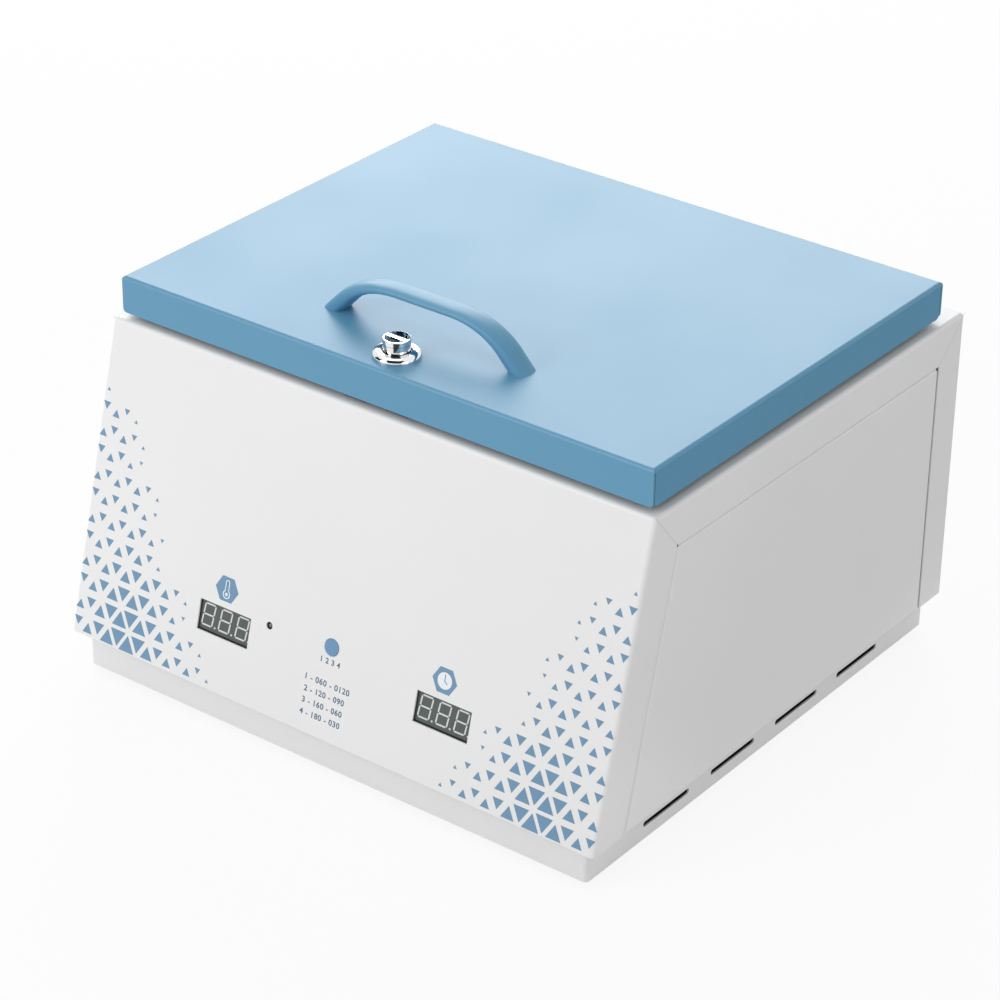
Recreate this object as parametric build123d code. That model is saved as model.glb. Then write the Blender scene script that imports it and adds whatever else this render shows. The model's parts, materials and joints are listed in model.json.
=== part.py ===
from build123d import *
from math import atan2, cos, radians, sin, sqrt, tan
import os

# Dry heat sterilizer with a wedge shaped casing, a hinged top lid and a round turn latch.
# Lengths are in millimetres, angles in degrees. X runs to the right, Y to the back, Z up.
# The origin lies under the middle of the whole object, on the plane that its feet stand on.

# Casing: a front that leans back, a flat top and an upright rear wall
CASE_WIDTH = 370.0
CASE_DEPTH = 350.0
CASE_HEIGHT = 183.0
FRONT_SETBACK = 46.0
SHEET = 1.2
BEND_R = 2.4
BOTTOM_LIP = 16.0

# Borders that the cover folds round each side, and the side panels in them
TOP_BORDER = 24.5
REAR_BORDER = 24.5
FRONT_BORDER = 26.0
RELIEF_HOLE_R = 0.8
SEAM_GAP = 0.6
FRONT_SEAM_GAP = 1.1
PANEL_LIP = 18.0
PANEL_BEND_R = 1.9
PANEL_CORNER_R = 3.0

# Base pan, turned upside down under the casing, with its feet
FOOT_HEIGHT = 4.0
FOOT_R = 9.0
FOOT_TAPER = 1.0
FOOT_INSET = 22.0
FOOT_SINK = 1.8
FOOT_SINK_R = 3.6
SKIRT_HEIGHT = 22.0
SKIRT_SIDE_INSET = 8.0
SKIRT_END_INSET = 6.0
SKIRT_CORNER_R = 3.0
HEM_WIDTH = 34.0
VENT_LENGTH = 43.0
VENT_HEIGHT = 3.4
VENT_END_INSET = 73.0
VENT_COUNT = 4
VENT_CENTRE = 9.3
FLOOR_SLOT_LENGTH = 40.0
FLOOR_SLOT_WIDTH = 5.0
FLOOR_SLOT_PITCH = 64.0
FLOOR_SLOT_FRONT_INSET = 81.15

# Lid pan
LID_SIDE_INSET = 4.5
LID_FRONT_INSET = 3.0
LID_REAR_INSET = 20.0
LID_GAP = 3.2
LID_SKIRT = 22.0
LID_BEND_R = 2.0
LID_SEAM = 0.5
LID_SEAM_TOP = 3.0
LID_CORNER_R = 2.5

# Lid lining
LINER_SHEET = 1.0
LINER_CLEARANCE = 1.5
LINER_WALL = 10.0
LINER_RISE = 1.2
LINER_CORNER_R = 6.0
LINER_LATCH_SPACE = 13.0
LID_WOOL_TOP_GAP = 2.7
GASKET_WIDTH = 8.0
GASKET_CLEARANCE = 0.3
GASKET_BEAD_R = 1.1
STUD_R = 3.5
STUD_SIDE_INSET = 14.0
STUD_END_INSET = 11.0

# Chamber, with the room that the latch and the hinges need before and behind it
TANK_LATCH_SPACE = 28.5
TANK_REAR_SPACE = 31.5
CHAMBER_WALL = 1.0
CHAMBER_CORNER_R = 16.0
CHAMBER_FLOOR_R = 7.0
RIM_WIDTH = 10.0
CHAMBER_CLEARANCE = 0.5

# Insulation round the chamber and the two brackets that carry it
WOOL_WALL = 22.0
WOOL_FLOOR = 20.0
WOOL_TOP_GAP = 11.0
WOOL_CLEARANCE = 0.3
WOOL_CORNER_R = 20.0
WOOL_SIDE_GAP = 4.0
HEATER_SPACE = 14.0
BRACKET_SHEET = 1.5
BRACKET_FLANGE = 20.0
BRACKET_HEIGHT = 34.0
BRACKET_END_INSET = 28.0
BRACKET_SIDE_INSET = 18.0
BRACKET_HOLE_R = 10.0
BRACKET_HOLE_INSET = 35.0

# Heating element under the chamber
HEATER_R = 3.25
HEATER_RUNS = 4
HEATER_SIDE_INSET = 31.0
HEATER_END_INSET = 35.0
HEATER_BEND_STRAIGHT = 4.0
HEATER_END_RECESS = 1.4
HEATER_LEG_BEND_R = 9.0
HEATER_SEAT_GAP = 0.1
SLEEVE_WALL = 1.4
SLEEVE_LENGTH = 12.75
SLEEVE_DROP = 4.75
SLEEVE_FIT = 0.05
CLAMP_WIDTH = 12.0
CLAMP_THICKNESS = 1.2
CLAMP_COUNT = 3
CLAMP_END_INSET = 30.0
CLAMP_OVERHANG = 12.0
CLAMP_BOLT_R = 2.0

# Temperature probe through the back of the chamber, and the cut-out under its floor
PROBE_R = 2.5
PROBE_TIP_R = 2.0
PROBE_SIDE_INSET = 51.0
PROBE_DROP = 45.0
PROBE_REACH = 32.0
PROBE_TAIL = 8.0
PROBE_FIT = 0.05
PROBE_NUT_R = 6.0
PROBE_NUT_THICKNESS = 4.0
CUTOUT_R = 8.0
CUTOUT_NECK_R = 6.4
CUTOUT_HEIGHT = 8.0

# Instrument tray and the two rails that it rests on
TRAY_CLEARANCE = 6.0
TRAY_HEIGHT = 22.0
TRAY_SHEET = 0.8
TRAY_CORNER_R = 12.0
TRAY_RIM = 5.0
TRAY_SLOT_LENGTH = 36.0
TRAY_SLOT_WIDTH = 5.0
TRAY_SLOT_PITCH_X = 46.0
TRAY_SLOT_PITCH_Y = 14.0
TRAY_SLOT_MARGIN = 16.0
RAIL_HEIGHT = 8.0
RAIL_WIDTH = 12.0
RAIL_END_INSET = 9.0
RAIL_SIDE_INSET = 29.0

# Front controls, placed on the leaning front across from its middle and up from its foot
DISPLAY_WINDOW_WIDTH = 37.0
DISPLAY_WINDOW_HEIGHT = 18.2
DISPLAY_X = 77.0
DISPLAY_UP = 41.2
DISPLAY_WIDTH = 37.6
DISPLAY_HEIGHT = 19.0
DISPLAY_THICKNESS = 8.0
DISPLAY_BACK_GAP = 0.6
LED_X = -45.4
LED_UP = 50.9
LED_HOLE_R = 2.2
LED_R = 1.5
LED_TIP_R = 1.2
LED_TIP_DEPTH = 0.5
LED_SPACER_R = 2.6
LED_SPACER_LENGTH = 4.6
BUTTON_X = -1.3
BUTTON_UP = 53.5
BUTTON_R = 4.9
BUTTON_CLEARANCE = 0.2
BUTTON_PROUD = 0.4
BUTTON_EDGE_R = 0.3
BUTTON_FLANGE_R = 6.6
BUTTON_FLANGE_THICKNESS = 1.2
BUTTON_REST_GAP = 0.15
BUTTON_STEM_R = 2.5
BUTTON_STEM_LENGTH = 2.4
BUTTON_TRAVEL = 0.8
KEY_BODY = 6.2
KEY_BODY_HEIGHT = 3.4
KEY_PLUNGER_R = 1.7
KEY_GAP = 0.1

# Circuit boards
BOARD_THICKNESS = 1.6
CONTROL_BOARD_WIDTH = 210.0
CONTROL_BOARD_HEIGHT = 54.0
CONTROL_BOARD_UP = 47.0
POWER_BOARD_WIDTH = 140.0
POWER_BOARD_LENGTH = 86.0
POWER_BOARD_X = 20.0
POWER_BOARD_SHIFT = 39.65
POWER_BOARD_STANDOFF = 6.0
STANDOFF_R = 3.0
BOARD_HOLE_INSET = 6.0
TRANSFORMER_WIDTH = 42.0
TRANSFORMER_LENGTH = 34.0
TRANSFORMER_HEIGHT = 24.0
TRANSFORMER_X = -38.0
TRANSFORMER_Y = 14.0
HEATSINK_WIDTH = 36.0
HEATSINK_LENGTH = 24.0
HEATSINK_HEIGHT = 20.0
HEATSINK_X = 38.0
HEATSINK_Y = 18.0
HEATSINK_FINS = 6
HEATSINK_FIN = 1.6
HEATSINK_BASE = 3.0
TERMINAL_WAY = 10.0
TERMINAL_LENGTH = 10.0
TERMINAL_HEIGHT = 12.0
TERMINAL_WAYS = 6
TERMINAL_Y = -28.0
TERMINAL_HOLE_R = 2.0

# Screws
SCREW_R = 1.5
SCREW_HEAD_R = 2.9
SCREW_HEAD_HEIGHT = 1.8
SCREW_HEAD_CHAMFER = 0.5
SCREW_FIT = 0.05
SCREW_GRIP = 3.0
COVER_SCREW_INSET = 11.5
COVER_SCREW_SIDE_INSET = 55.0
PANEL_SCREW_INSET = 12.5
PANEL_SCREW_PITCH = 180.0

# Mains inlet and power switch on the rear wall
REAR_FITTING_UP = 19.0
CUT_CLEARANCE = 0.3
INLET_SIDE_INSET = 67.0
INLET_BODY_WIDTH = 27.4
INLET_BODY_HEIGHT = 19.8
INLET_BODY_DEPTH = 20.0
INLET_FLANGE_WIDTH = 50.0
INLET_FLANGE_HEIGHT = 24.0
INLET_FLANGE_THICKNESS = 2.5
INLET_FLANGE_R = 3.0
INLET_SCREW_SPACING = 40.0
INLET_SOCKET_WIDTH = 24.0
INLET_SOCKET_HEIGHT = 16.4
INLET_SOCKET_DEPTH = 16.0
INLET_SOCKET_CHAMFER = 4.5
INLET_BLADE_WIDTH = 2.0
INLET_BLADE_HEIGHT = 4.0
INLET_BLADE_LENGTH = 12.0
INLET_BLADE_SPACING = 7.0
INLET_EARTH_RISE = 2.0
SWITCH_SPACING = 42.0
SWITCH_BODY_WIDTH = 13.0
SWITCH_BODY_HEIGHT = 19.2
SWITCH_BODY_DEPTH = 15.0
SWITCH_BEZEL_WIDTH = 15.0
SWITCH_BEZEL_HEIGHT = 21.0
SWITCH_BEZEL_THICKNESS = 1.5
SWITCH_BEZEL_R = 1.0
ROCKER_WIDTH = 9.6
ROCKER_FACE = 7.6
ROCKER_TILT = 10.0
ROCKER_PROUD = 2.8
ROCKER_PIVOT_DEPTH = 3.0
ROCKER_EDGE = 2.0
ROCKER_BACK = 4.6
ROCKER_BACK_HALF = 2.5
ROCKER_CLEARANCE = 0.4
ROCKER_PIN_R = 1.2
ROCKER_PIN_LENGTH = 0.9
ROCKER_PIN_FIT = 0.05

# Hinges
HINGE_SIDE_INSET = 75.0
HINGE_LENGTH = 50.0
HINGE_SHEET = 1.5
HINGE_KNUCKLE_R = 3.2
HINGE_PIN_R = 1.5
HINGE_PIN_FIT = 0.05
HINGE_KNUCKLE_GAP = 0.3
HINGE_BODY_GAP = 0.4
HINGE_LEAF_GAP = 0.5
HINGE_CASE_LEAF = 14.0
HINGE_LID_LEAF = 19.5
HINGE_SCREW_SPACING = 34.0
HINGE_SCREW_HEAD_R = 2.7
HINGE_SCREW_HEAD = 1.2

# Turn latch
LATCH_BACK = 19.0
ROSETTE_R = 13.5
ROSETTE_HEIGHT = 4.0
ROSETTE_EDGE = 1.0
ROSETTE_BULGE = 1.1
ROSETTE_COLLAR = 1.1
LATCH_BARREL_R = 7.0
LATCH_BARREL_LENGTH = 14.0
LATCH_BARREL_CLEARANCE = 0.2
LATCH_NUT_R = 11.0
LATCH_NUT_THICKNESS = 4.0
KNOB_R = 8.0
KNOB_HEIGHT = 11.0
KNOB_CLEARANCE = 0.3
KNOB_SINK = 2.4
KNOB_EDGE_R = 0.5
KNOB_RIM = 0.9
KNOB_FIN = 3.0
KNOB_POCKET = 3.0
SPINDLE_R = 4.0
SPINDLE_CLEARANCE = 0.05
SPINDLE_SOCKET = 4.5
SPINDLE_SQUARE = 5.4
SPINDLE_SQUARE_FIT = 0.05
CAM_THICKNESS = 2.0
CAM_WIDTH = 11.0
CAM_REACH = 20.0
CAM_CORNER_R = 2.5
CAM_CLEARANCE = 0.6
CATCH_LENGTH = 45.0
CATCH_FRONT = 4.6
CATCH_WIDTH = 22.5
CATCH_CORNER_R = 2.0
STRIKE_LENGTH = 52.0
STRIKE_WIDTH = 9.0
STRIKE_THICKNESS = 2.0
FORK_WIDTH = 43.0
FORK_NOTCH = 13.6
FORK_THICKNESS = 1.5
FORK_DROP = 1.3
FORK_NOTCH_HEIGHT = 6.0
FORK_FLANGE = 6.0

# Bow handle: sizes along the middle of its rounded outer face, and of the gap under it
HANDLE_BACK = 46.2
HANDLE_LENGTH = 139.6
HANDLE_WIDTH = 14.4
HANDLE_HEIGHT = 25.5
HANDLE_LEG_SPREAD = 24.7
HANDLE_SHOULDER_HEIGHT = 22.6
HANDLE_SHOULDER_R = 23.0
HANDLE_CROWN_R = 300.0
HANDLE_ROUNDING = 1.5
HANDLE_SECTION = 9.0
HANDLE_FOOT_LENGTH = 10.8
HANDLE_GAP_HEIGHT = 21.0
HANDLE_GAP_LEG_SPREAD = 18.0
HANDLE_GAP_SHOULDER_HEIGHT = 18.4
HANDLE_GAP_R = 18.0
HANDLE_SCREW_INSET = 5.8
HANDLE_SCREW_R = 2.0
HANDLE_SCREW_GRIP = 3.6

# Heights and places that follow from the values above
CASE_BOTTOM = FOOT_HEIGHT + SKIRT_HEIGHT
CASE_TOP = CASE_BOTTOM + CASE_HEIGHT
HALF_WIDTH = CASE_WIDTH / 2
REAR_PROUD = SWITCH_BEZEL_THICKNESS + ROCKER_PROUD
FRONT_Y = -(CASE_DEPTH + REAR_PROUD) / 2
REAR_Y = FRONT_Y + CASE_DEPTH
LEAN = atan2(FRONT_SETBACK, CASE_HEIGHT)
SKIRT_X = HALF_WIDTH - SKIRT_SIDE_INSET
SKIRT_FRONT_Y = FRONT_Y + SKIRT_END_INSET
SKIRT_REAR_Y = REAR_Y - SKIRT_END_INSET
SKIRT_MIDDLE_Y = (SKIRT_FRONT_Y + SKIRT_REAR_Y) / 2
LID_X = HALF_WIDTH - LID_SIDE_INSET
LID_FRONT_Y = FRONT_Y + FRONT_SETBACK + LID_FRONT_INSET
LID_REAR_Y = REAR_Y - LID_REAR_INSET
LID_BOTTOM = CASE_TOP + LID_GAP
LID_TOP = LID_BOTTOM + LID_SKIRT
LID_CEILING = LID_TOP - SHEET
LINER_BOTTOM = LID_BOTTOM + LINER_RISE
LINER_TOP = LINER_BOTTOM + LINER_SHEET
LATCH_Y = LID_FRONT_Y + LATCH_BACK
WOOL_BOTTOM = CASE_BOTTOM + BRACKET_HEIGHT
WOOL_POCKET = WOOL_BOTTOM + WOOL_FLOOR
WOOL_TOP = CASE_TOP - WOOL_TOP_GAP
TANK_FRONT_Y = LATCH_Y + TANK_LATCH_SPACE
TANK_REAR_Y = LID_REAR_Y - TANK_REAR_SPACE
TANK_BOTTOM = WOOL_POCKET + HEATER_SPACE
TANK_X = HALF_WIDTH - PANEL_LIP - WOOL_SIDE_GAP - WOOL_WALL
TANK_HALF_Y = (TANK_REAR_Y - TANK_FRONT_Y) / 2
TANK_CORNER_R = CHAMBER_CORNER_R + CHAMBER_WALL
CHAMBER_Y = (TANK_FRONT_Y + TANK_REAR_Y) / 2
CHAMBER_X = TANK_X - CHAMBER_WALL
CHAMBER_HALF_Y = TANK_HALF_Y - CHAMBER_WALL
CHAMBER_FLOOR = TANK_BOTTOM + CHAMBER_WALL
RIM_TOP = CASE_TOP + CHAMBER_WALL
HEATER_X = TANK_X - HEATER_SIDE_INSET
HEATER_PITCH = 2 * (TANK_HALF_Y - HEATER_END_INSET) / (HEATER_RUNS - 1)
HEATER_Z = TANK_BOTTOM - HEATER_R - HEATER_SEAT_GAP
PROBE_X = TANK_X - PROBE_SIDE_INSET
PROBE_Z = RIM_TOP - PROBE_DROP
TRAY_X = CHAMBER_X - TRAY_CLEARANCE - TRAY_RIM
TRAY_HALF_Y = CHAMBER_HALF_Y - TRAY_CLEARANCE - TRAY_RIM
TRAY_FLOOR = CHAMBER_FLOOR + RAIL_HEIGHT
CATCH_Y = LID_FRONT_Y + CATCH_FRONT + CATCH_WIDTH / 2
CAM_TOP = CASE_TOP - SHEET - STRIKE_THICKNESS - CAM_CLEARANCE
CAM_BOTTOM = CAM_TOP - CAM_THICKNESS
KNOB_BOTTOM = LID_TOP + ROSETTE_HEIGHT - KNOB_SINK
HANDLE_Y = LID_FRONT_Y + HANDLE_BACK
HINGE_X = HALF_WIDTH - HINGE_SIDE_INSET
HINGE_Y = LID_REAR_Y + HINGE_KNUCKLE_R + HINGE_BODY_GAP
HINGE_Z = CASE_TOP + HINGE_KNUCKLE_R + HINGE_BODY_GAP
REAR_FITTING_Z = CASE_BOTTOM + REAR_FITTING_UP
INLET_X = HALF_WIDTH - INLET_SIDE_INSET
SWITCH_X = INLET_X - SWITCH_SPACING
BOARD_FACE = SHEET + DISPLAY_BACK_GAP + DISPLAY_THICKNESS
POWER_BOARD_Y = CHAMBER_Y + POWER_BOARD_SHIFT
POWER_BOARD_Z = CASE_BOTTOM + POWER_BOARD_STANDOFF
POWER_BOARD_TOP = POWER_BOARD_Z + BOARD_THICKNESS
HOLE_R = SCREW_R + SCREW_FIT

# Plane of the leaning front: X across, Y up the slope from its foot, Z out of the casing
FRONT = Plane(origin=(0, FRONT_Y, CASE_BOTTOM), x_dir=(1, 0, 0), z_dir=(0, -cos(LEAN), sin(LEAN)))


def block(x0, x1, y0, y1, z0, z1):
    """Rectangular block between two opposite corners."""
    return Pos((x0 + x1) / 2, (y0 + y1) / 2, (z0 + z1) / 2) * Box(x1 - x0, y1 - y0, z1 - z0)


def rod(x, y, z0, z1, radius):
    """Upright round rod between two heights."""
    return Pos(x, y, (z0 + z1) / 2) * Cylinder(radius, z1 - z0)


def rod_x(y, z, x0, x1, radius):
    """Round rod along X."""
    return Pos((x0 + x1) / 2, y, z) * Rot(0, 90, 0) * Cylinder(radius, x1 - x0)


def rod_y(x, z, y0, y1, radius):
    """Round rod along Y."""
    return Pos(x, (y0 + y1) / 2, z) * Rot(90, 0, 0) * Cylinder(radius, y1 - y0)


def rounded_block(half_x, half_y, radius, y, z0, z1):
    """Block with upright rounded corners, about a point of the middle plane."""
    return extrude(Pos(0, y, z0) * RectangleRounded(2 * half_x, 2 * half_y, radius), z1 - z0)


def prism_x(points, x0, x1):
    """Prism along X over an outline of (y, z) points."""
    outline = Plane.YZ.offset(x0) * Polyline(*points, close=True)
    return extrude(make_face(outline), x1 - x0, dir=(1, 0, 0))


def front_y(z, depth=0.0):
    """Y of the leaning front at a height, a depth inside its outer face."""
    return FRONT_Y + (z - CASE_BOTTOM) * tan(LEAN) + depth / cos(LEAN)


def on_front(x, up, out0, out1, width, height):
    """Block on the leaning front, from one distance out of its face to another."""
    return FRONT * Pos(x, up, (out0 + out1) / 2) * Box(width, height, out1 - out0)


def rod_on_front(x, up, out0, out1, radius):
    """Round rod square to the leaning front, from one distance out of its face to another."""
    return FRONT * Pos(x, up, (out0 + out1) / 2) * Cylinder(radius, out1 - out0)


def pan_screw(length, radius=SCREW_R):
    """Pan head screw with its seat at the origin, its head above and its shank below."""
    head = Pos(0, 0, SCREW_HEAD_HEIGHT / 2) * Cylinder(radius + SCREW_HEAD_R - SCREW_R, SCREW_HEAD_HEIGHT)
    head = chamfer(head.edges().group_by(Axis.Z)[-1], SCREW_HEAD_CHAMFER)
    return head + Pos(0, 0, -length / 2) * Cylinder(radius, length)


def flush_screw(length):
    """Countersunk screw with its flat top at the origin and its shank below."""
    head = Pos(0, 0, -HINGE_SCREW_HEAD / 2) * Cone(SCREW_R, HINGE_SCREW_HEAD_R, HINGE_SCREW_HEAD)
    return head + Pos(0, 0, -(HINGE_SCREW_HEAD + length) / 2) * Cylinder(SCREW_R, length - HINGE_SCREW_HEAD)


def flush_hole(length):
    """Cutter for a countersunk screw and its clearance, made from the same values."""
    lift = SCREW_FIT * HINGE_SCREW_HEAD / (HINGE_SCREW_HEAD_R - SCREW_R)
    cone = Cone(HOLE_R, HINGE_SCREW_HEAD_R + SCREW_FIT + lift, HINGE_SCREW_HEAD + lift)
    return Pos(0, 0, (lift - HINGE_SCREW_HEAD) / 2) * cone + Pos(0, 0, -length / 2) * Cylinder(HOLE_R, length)


def save(node, *solids):
    """Write one named piece, or one group of like pieces, to its own file."""
    shape = solids[0] if len(solids) == 1 else Compound(list(solids))
    export_step(shape, f"parts/{node}.step")


def casing_outline(depth):
    """Side outline of the casing, a depth inside its outer faces."""
    low, high = CASE_BOTTOM + depth, CASE_TOP - depth
    rear = REAR_Y - depth
    return [(front_y(low, depth), low), (front_y(high, depth), high), (rear, high), (rear, low)]


def window_outline(gap, front_gap, bottom):
    """Outline of a side window, drawn in by the seams round a side panel."""
    top = CASE_TOP - TOP_BORDER - gap
    rear = REAR_Y - REAR_BORDER - gap
    front = FRONT_BORDER + front_gap
    return [(front_y(bottom, front), bottom), (front_y(top, front), top), (rear, top), (rear, bottom)]


def bent_prism(depth, radius):
    """Casing form a depth inside its outer faces, with every bend above the foot rounded."""
    solid = prism_x(casing_outline(depth), depth - HALF_WIDTH, HALF_WIDTH - depth)
    return fillet(solid.edges().filter_by(lambda edge: edge.center().Z > CASE_BOTTOM + depth + radius), radius)


def cover_screw_places():
    """Places of the screws that hold the cover down on the base pan."""
    rows = (FRONT_Y + COVER_SCREW_INSET, REAR_Y - COVER_SCREW_INSET)
    return [(column * (HALF_WIDTH - COVER_SCREW_SIDE_INSET), y) for y in rows for column in (-1, 0, 1)]


def panel_screw_places(side):
    """Places of the screws that hold one side panel down on the base pan."""
    x = side * (HALF_WIDTH - PANEL_SCREW_INSET)
    return [(x, row * PANEL_SCREW_PITCH / 2) for row in (-1, 1)]


def board_corners(width, height, inset=BOARD_HOLE_INSET):
    """Corner points of a rectangle, an inset inside its edges."""
    return [(a * (width / 2 - inset), b * (height / 2 - inset)) for a in (-1, 1) for b in (-1, 1)]


def make_outer_cover():
    """One folded sheet: leaning front, top and rear wall, with a border folded round each side."""
    cover = bent_prism(0, BEND_R) - bent_prism(SHEET, BEND_R - SHEET)
    reach = HALF_WIDTH + SHEET
    cover -= prism_x(window_outline(0, 0, CASE_BOTTOM - SHEET), -reach, reach)
    window_top = CASE_TOP - TOP_BORDER
    cover -= rod_x(front_y(window_top, FRONT_BORDER), window_top, -reach, reach, RELIEF_HOLE_R)
    inner = HALF_WIDTH - SHEET
    front_lip, rear_lip = FRONT_Y + BOTTOM_LIP, REAR_Y - BOTTOM_LIP
    cover -= block(-inner, inner, front_lip, rear_lip, CASE_BOTTOM - SHEET, CASE_BOTTOM + SHEET)
    low, high = CASE_TOP - 2 * SHEET, CASE_TOP + SHEET
    gap = CHAMBER_CLEARANCE
    cover -= rounded_block(TANK_X + gap, TANK_HALF_Y + gap, TANK_CORNER_R + gap, CHAMBER_Y, low, high)
    cover -= rounded_block(CATCH_LENGTH / 2, CATCH_WIDTH / 2, CATCH_CORNER_R, CATCH_Y, low, high)
    width, height = DISPLAY_WINDOW_WIDTH, DISPLAY_WINDOW_HEIGHT
    for side in (-1, 1):
        cover -= on_front(side * DISPLAY_X, DISPLAY_UP, -2 * SHEET, SHEET, width, height)
        for x, y in hinge_screw_places(side):
            cover -= rod(x, y, low, high, HOLE_R)
    cover -= rod_on_front(LED_X, LED_UP, -2 * SHEET, SHEET, LED_HOLE_R)
    cover -= rod_on_front(BUTTON_X, BUTTON_UP, -2 * SHEET, SHEET, BUTTON_R + BUTTON_CLEARANCE)
    cover -= rear_cut(INLET_X, INLET_BODY_WIDTH, INLET_BODY_HEIGHT)
    cover -= rear_cut(SWITCH_X, SWITCH_BODY_WIDTH, SWITCH_BODY_HEIGHT)
    for side in (-1, 1):
        x = INLET_X + side * INLET_SCREW_SPACING / 2
        cover -= rod_y(x, REAR_FITTING_Z, REAR_Y - 2 * SHEET, REAR_Y + SHEET, HOLE_R)
    for x, y in cover_screw_places():
        cover -= rod(x, y, CASE_BOTTOM - SHEET, CASE_BOTTOM + 2 * SHEET, HOLE_R)
    return cover


def rear_cut(x, width, height):
    """Cutter through the rear wall for a snap-in fitting."""
    half_x, half_z = width / 2 + CUT_CLEARANCE, height / 2 + CUT_CLEARANCE
    z = REAR_FITTING_Z
    return block(x - half_x, x + half_x, REAR_Y - 2 * SHEET, REAR_Y + SHEET, z - half_z, z + half_z)


def make_side_panel(side):
    """Shallow folded pan that fills a side window, with all its edges turned inwards."""
    outline = window_outline(SEAM_GAP, FRONT_SEAM_GAP, CASE_BOTTOM)
    pan = prism_x(outline, HALF_WIDTH - PANEL_LIP, HALF_WIDTH)
    across = pan.edges().filter_by(Axis.X)
    pan = fillet(across.filter_by(lambda edge: edge.center().Z > CASE_BOTTOM + PANEL_CORNER_R), PANEL_CORNER_R)
    face = pan.faces().sort_by(Axis.X)[-1]
    pan = fillet(face.edges(), PANEL_BEND_R)
    pan = offset(pan, amount=-SHEET, openings=pan.faces().sort_by(Axis.X)[0])
    for x, y in panel_screw_places(1):
        pan -= rod(x, y, CASE_BOTTOM - SHEET, CASE_BOTTOM + 2 * SHEET, HOLE_R)
    return pan if side > 0 else mirror(pan, Plane.YZ)


def make_base_pan():
    """Folded pan with its floor on top, a slotted skirt and a hem that carries the feet."""
    half_y = (SKIRT_REAR_Y - SKIRT_FRONT_Y) / 2
    middle = SKIRT_MIDDLE_Y
    low, high = FOOT_HEIGHT, CASE_BOTTOM
    inner_x, inner_y, inner_r = SKIRT_X - SHEET, half_y - SHEET, SKIRT_CORNER_R - SHEET
    pan = rounded_block(SKIRT_X, half_y, SKIRT_CORNER_R, middle, low, high)
    pan -= rounded_block(inner_x, inner_y, inner_r, middle, low + SHEET, high - SHEET)
    hem_x, hem_y = SKIRT_X - HEM_WIDTH, half_y - HEM_WIDTH
    pan -= rounded_block(hem_x, hem_y, SKIRT_CORNER_R, middle, low - SHEET, low + 2 * SHEET)
    vent = SlotOverall(VENT_LENGTH, VENT_HEIGHT)
    vent_pitch = 2 * (half_y - VENT_END_INSET) / (VENT_COUNT - 1)
    floor_slot = Rot(0, 0, 90) * SlotOverall(FLOOR_SLOT_LENGTH, FLOOR_SLOT_WIDTH)
    floor_slot_y = SKIRT_FRONT_Y + FLOOR_SLOT_FRONT_INSET
    for index in range(VENT_COUNT):
        step = index - (VENT_COUNT - 1) / 2
        place = Plane.YZ.offset(-HALF_WIDTH) * Pos(middle + step * vent_pitch, low + VENT_CENTRE)
        pan -= extrude(place * vent, CASE_WIDTH)
        slot_place = Pos(step * FLOOR_SLOT_PITCH, floor_slot_y, high - 2 * SHEET)
        pan -= extrude(slot_place * floor_slot, 3 * SHEET)
    screws = cover_screw_places() + panel_screw_places(1) + panel_screw_places(-1)
    for x, y in screws:
        pan -= rod(x, y, CASE_BOTTOM - 2 * SHEET, CASE_BOTTOM + SHEET, HOLE_R)
    for x, y in foot_places():
        pan -= rod(x, y, FOOT_HEIGHT - SHEET, FOOT_HEIGHT + 2 * SHEET, HOLE_R)
    return pan


def foot_places():
    """Places of the four feet under the hem."""
    half_y = (SKIRT_REAR_Y - SKIRT_FRONT_Y) / 2
    corners = board_corners(2 * SKIRT_X, 2 * half_y, FOOT_INSET)
    return [(x, y + SKIRT_MIDDLE_Y) for x, y in corners]


def make_foot(x, y):
    """Tapered rubber foot with a sunk seat for its screw."""
    foot = Pos(x, y, FOOT_HEIGHT / 2) * Cone(FOOT_R - FOOT_TAPER, FOOT_R, FOOT_HEIGHT)
    foot -= rod(x, y, -SHEET, FOOT_HEIGHT - FOOT_SINK, FOOT_SINK_R)
    return foot - rod(x, y, 0, FOOT_HEIGHT + SHEET, HOLE_R)


def make_chamber():
    """Drawn steel tank with rounded corners and a flat rim that lies on the casing."""
    tank = rounded_block(TANK_X, TANK_HALF_Y, TANK_CORNER_R, CHAMBER_Y, TANK_BOTTOM, RIM_TOP)
    tank = fillet(tank.edges().group_by(Axis.Z)[0], CHAMBER_FLOOR_R + CHAMBER_WALL)
    rim_x, rim_y = TANK_X + RIM_WIDTH, TANK_HALF_Y + RIM_WIDTH
    tank += rounded_block(rim_x, rim_y, TANK_CORNER_R + RIM_WIDTH, CHAMBER_Y, CASE_TOP, RIM_TOP)
    low, high = CHAMBER_FLOOR, RIM_TOP + CHAMBER_WALL
    hollow = rounded_block(CHAMBER_X, CHAMBER_HALF_Y, CHAMBER_CORNER_R, CHAMBER_Y, low, high)
    tank -= fillet(hollow.edges().group_by(Axis.Z)[0], CHAMBER_FLOOR_R)
    return tank - rod_y(PROBE_X, PROBE_Z, CHAMBER_Y, TANK_REAR_Y + CHAMBER_WALL, PROBE_R + PROBE_FIT)


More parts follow.
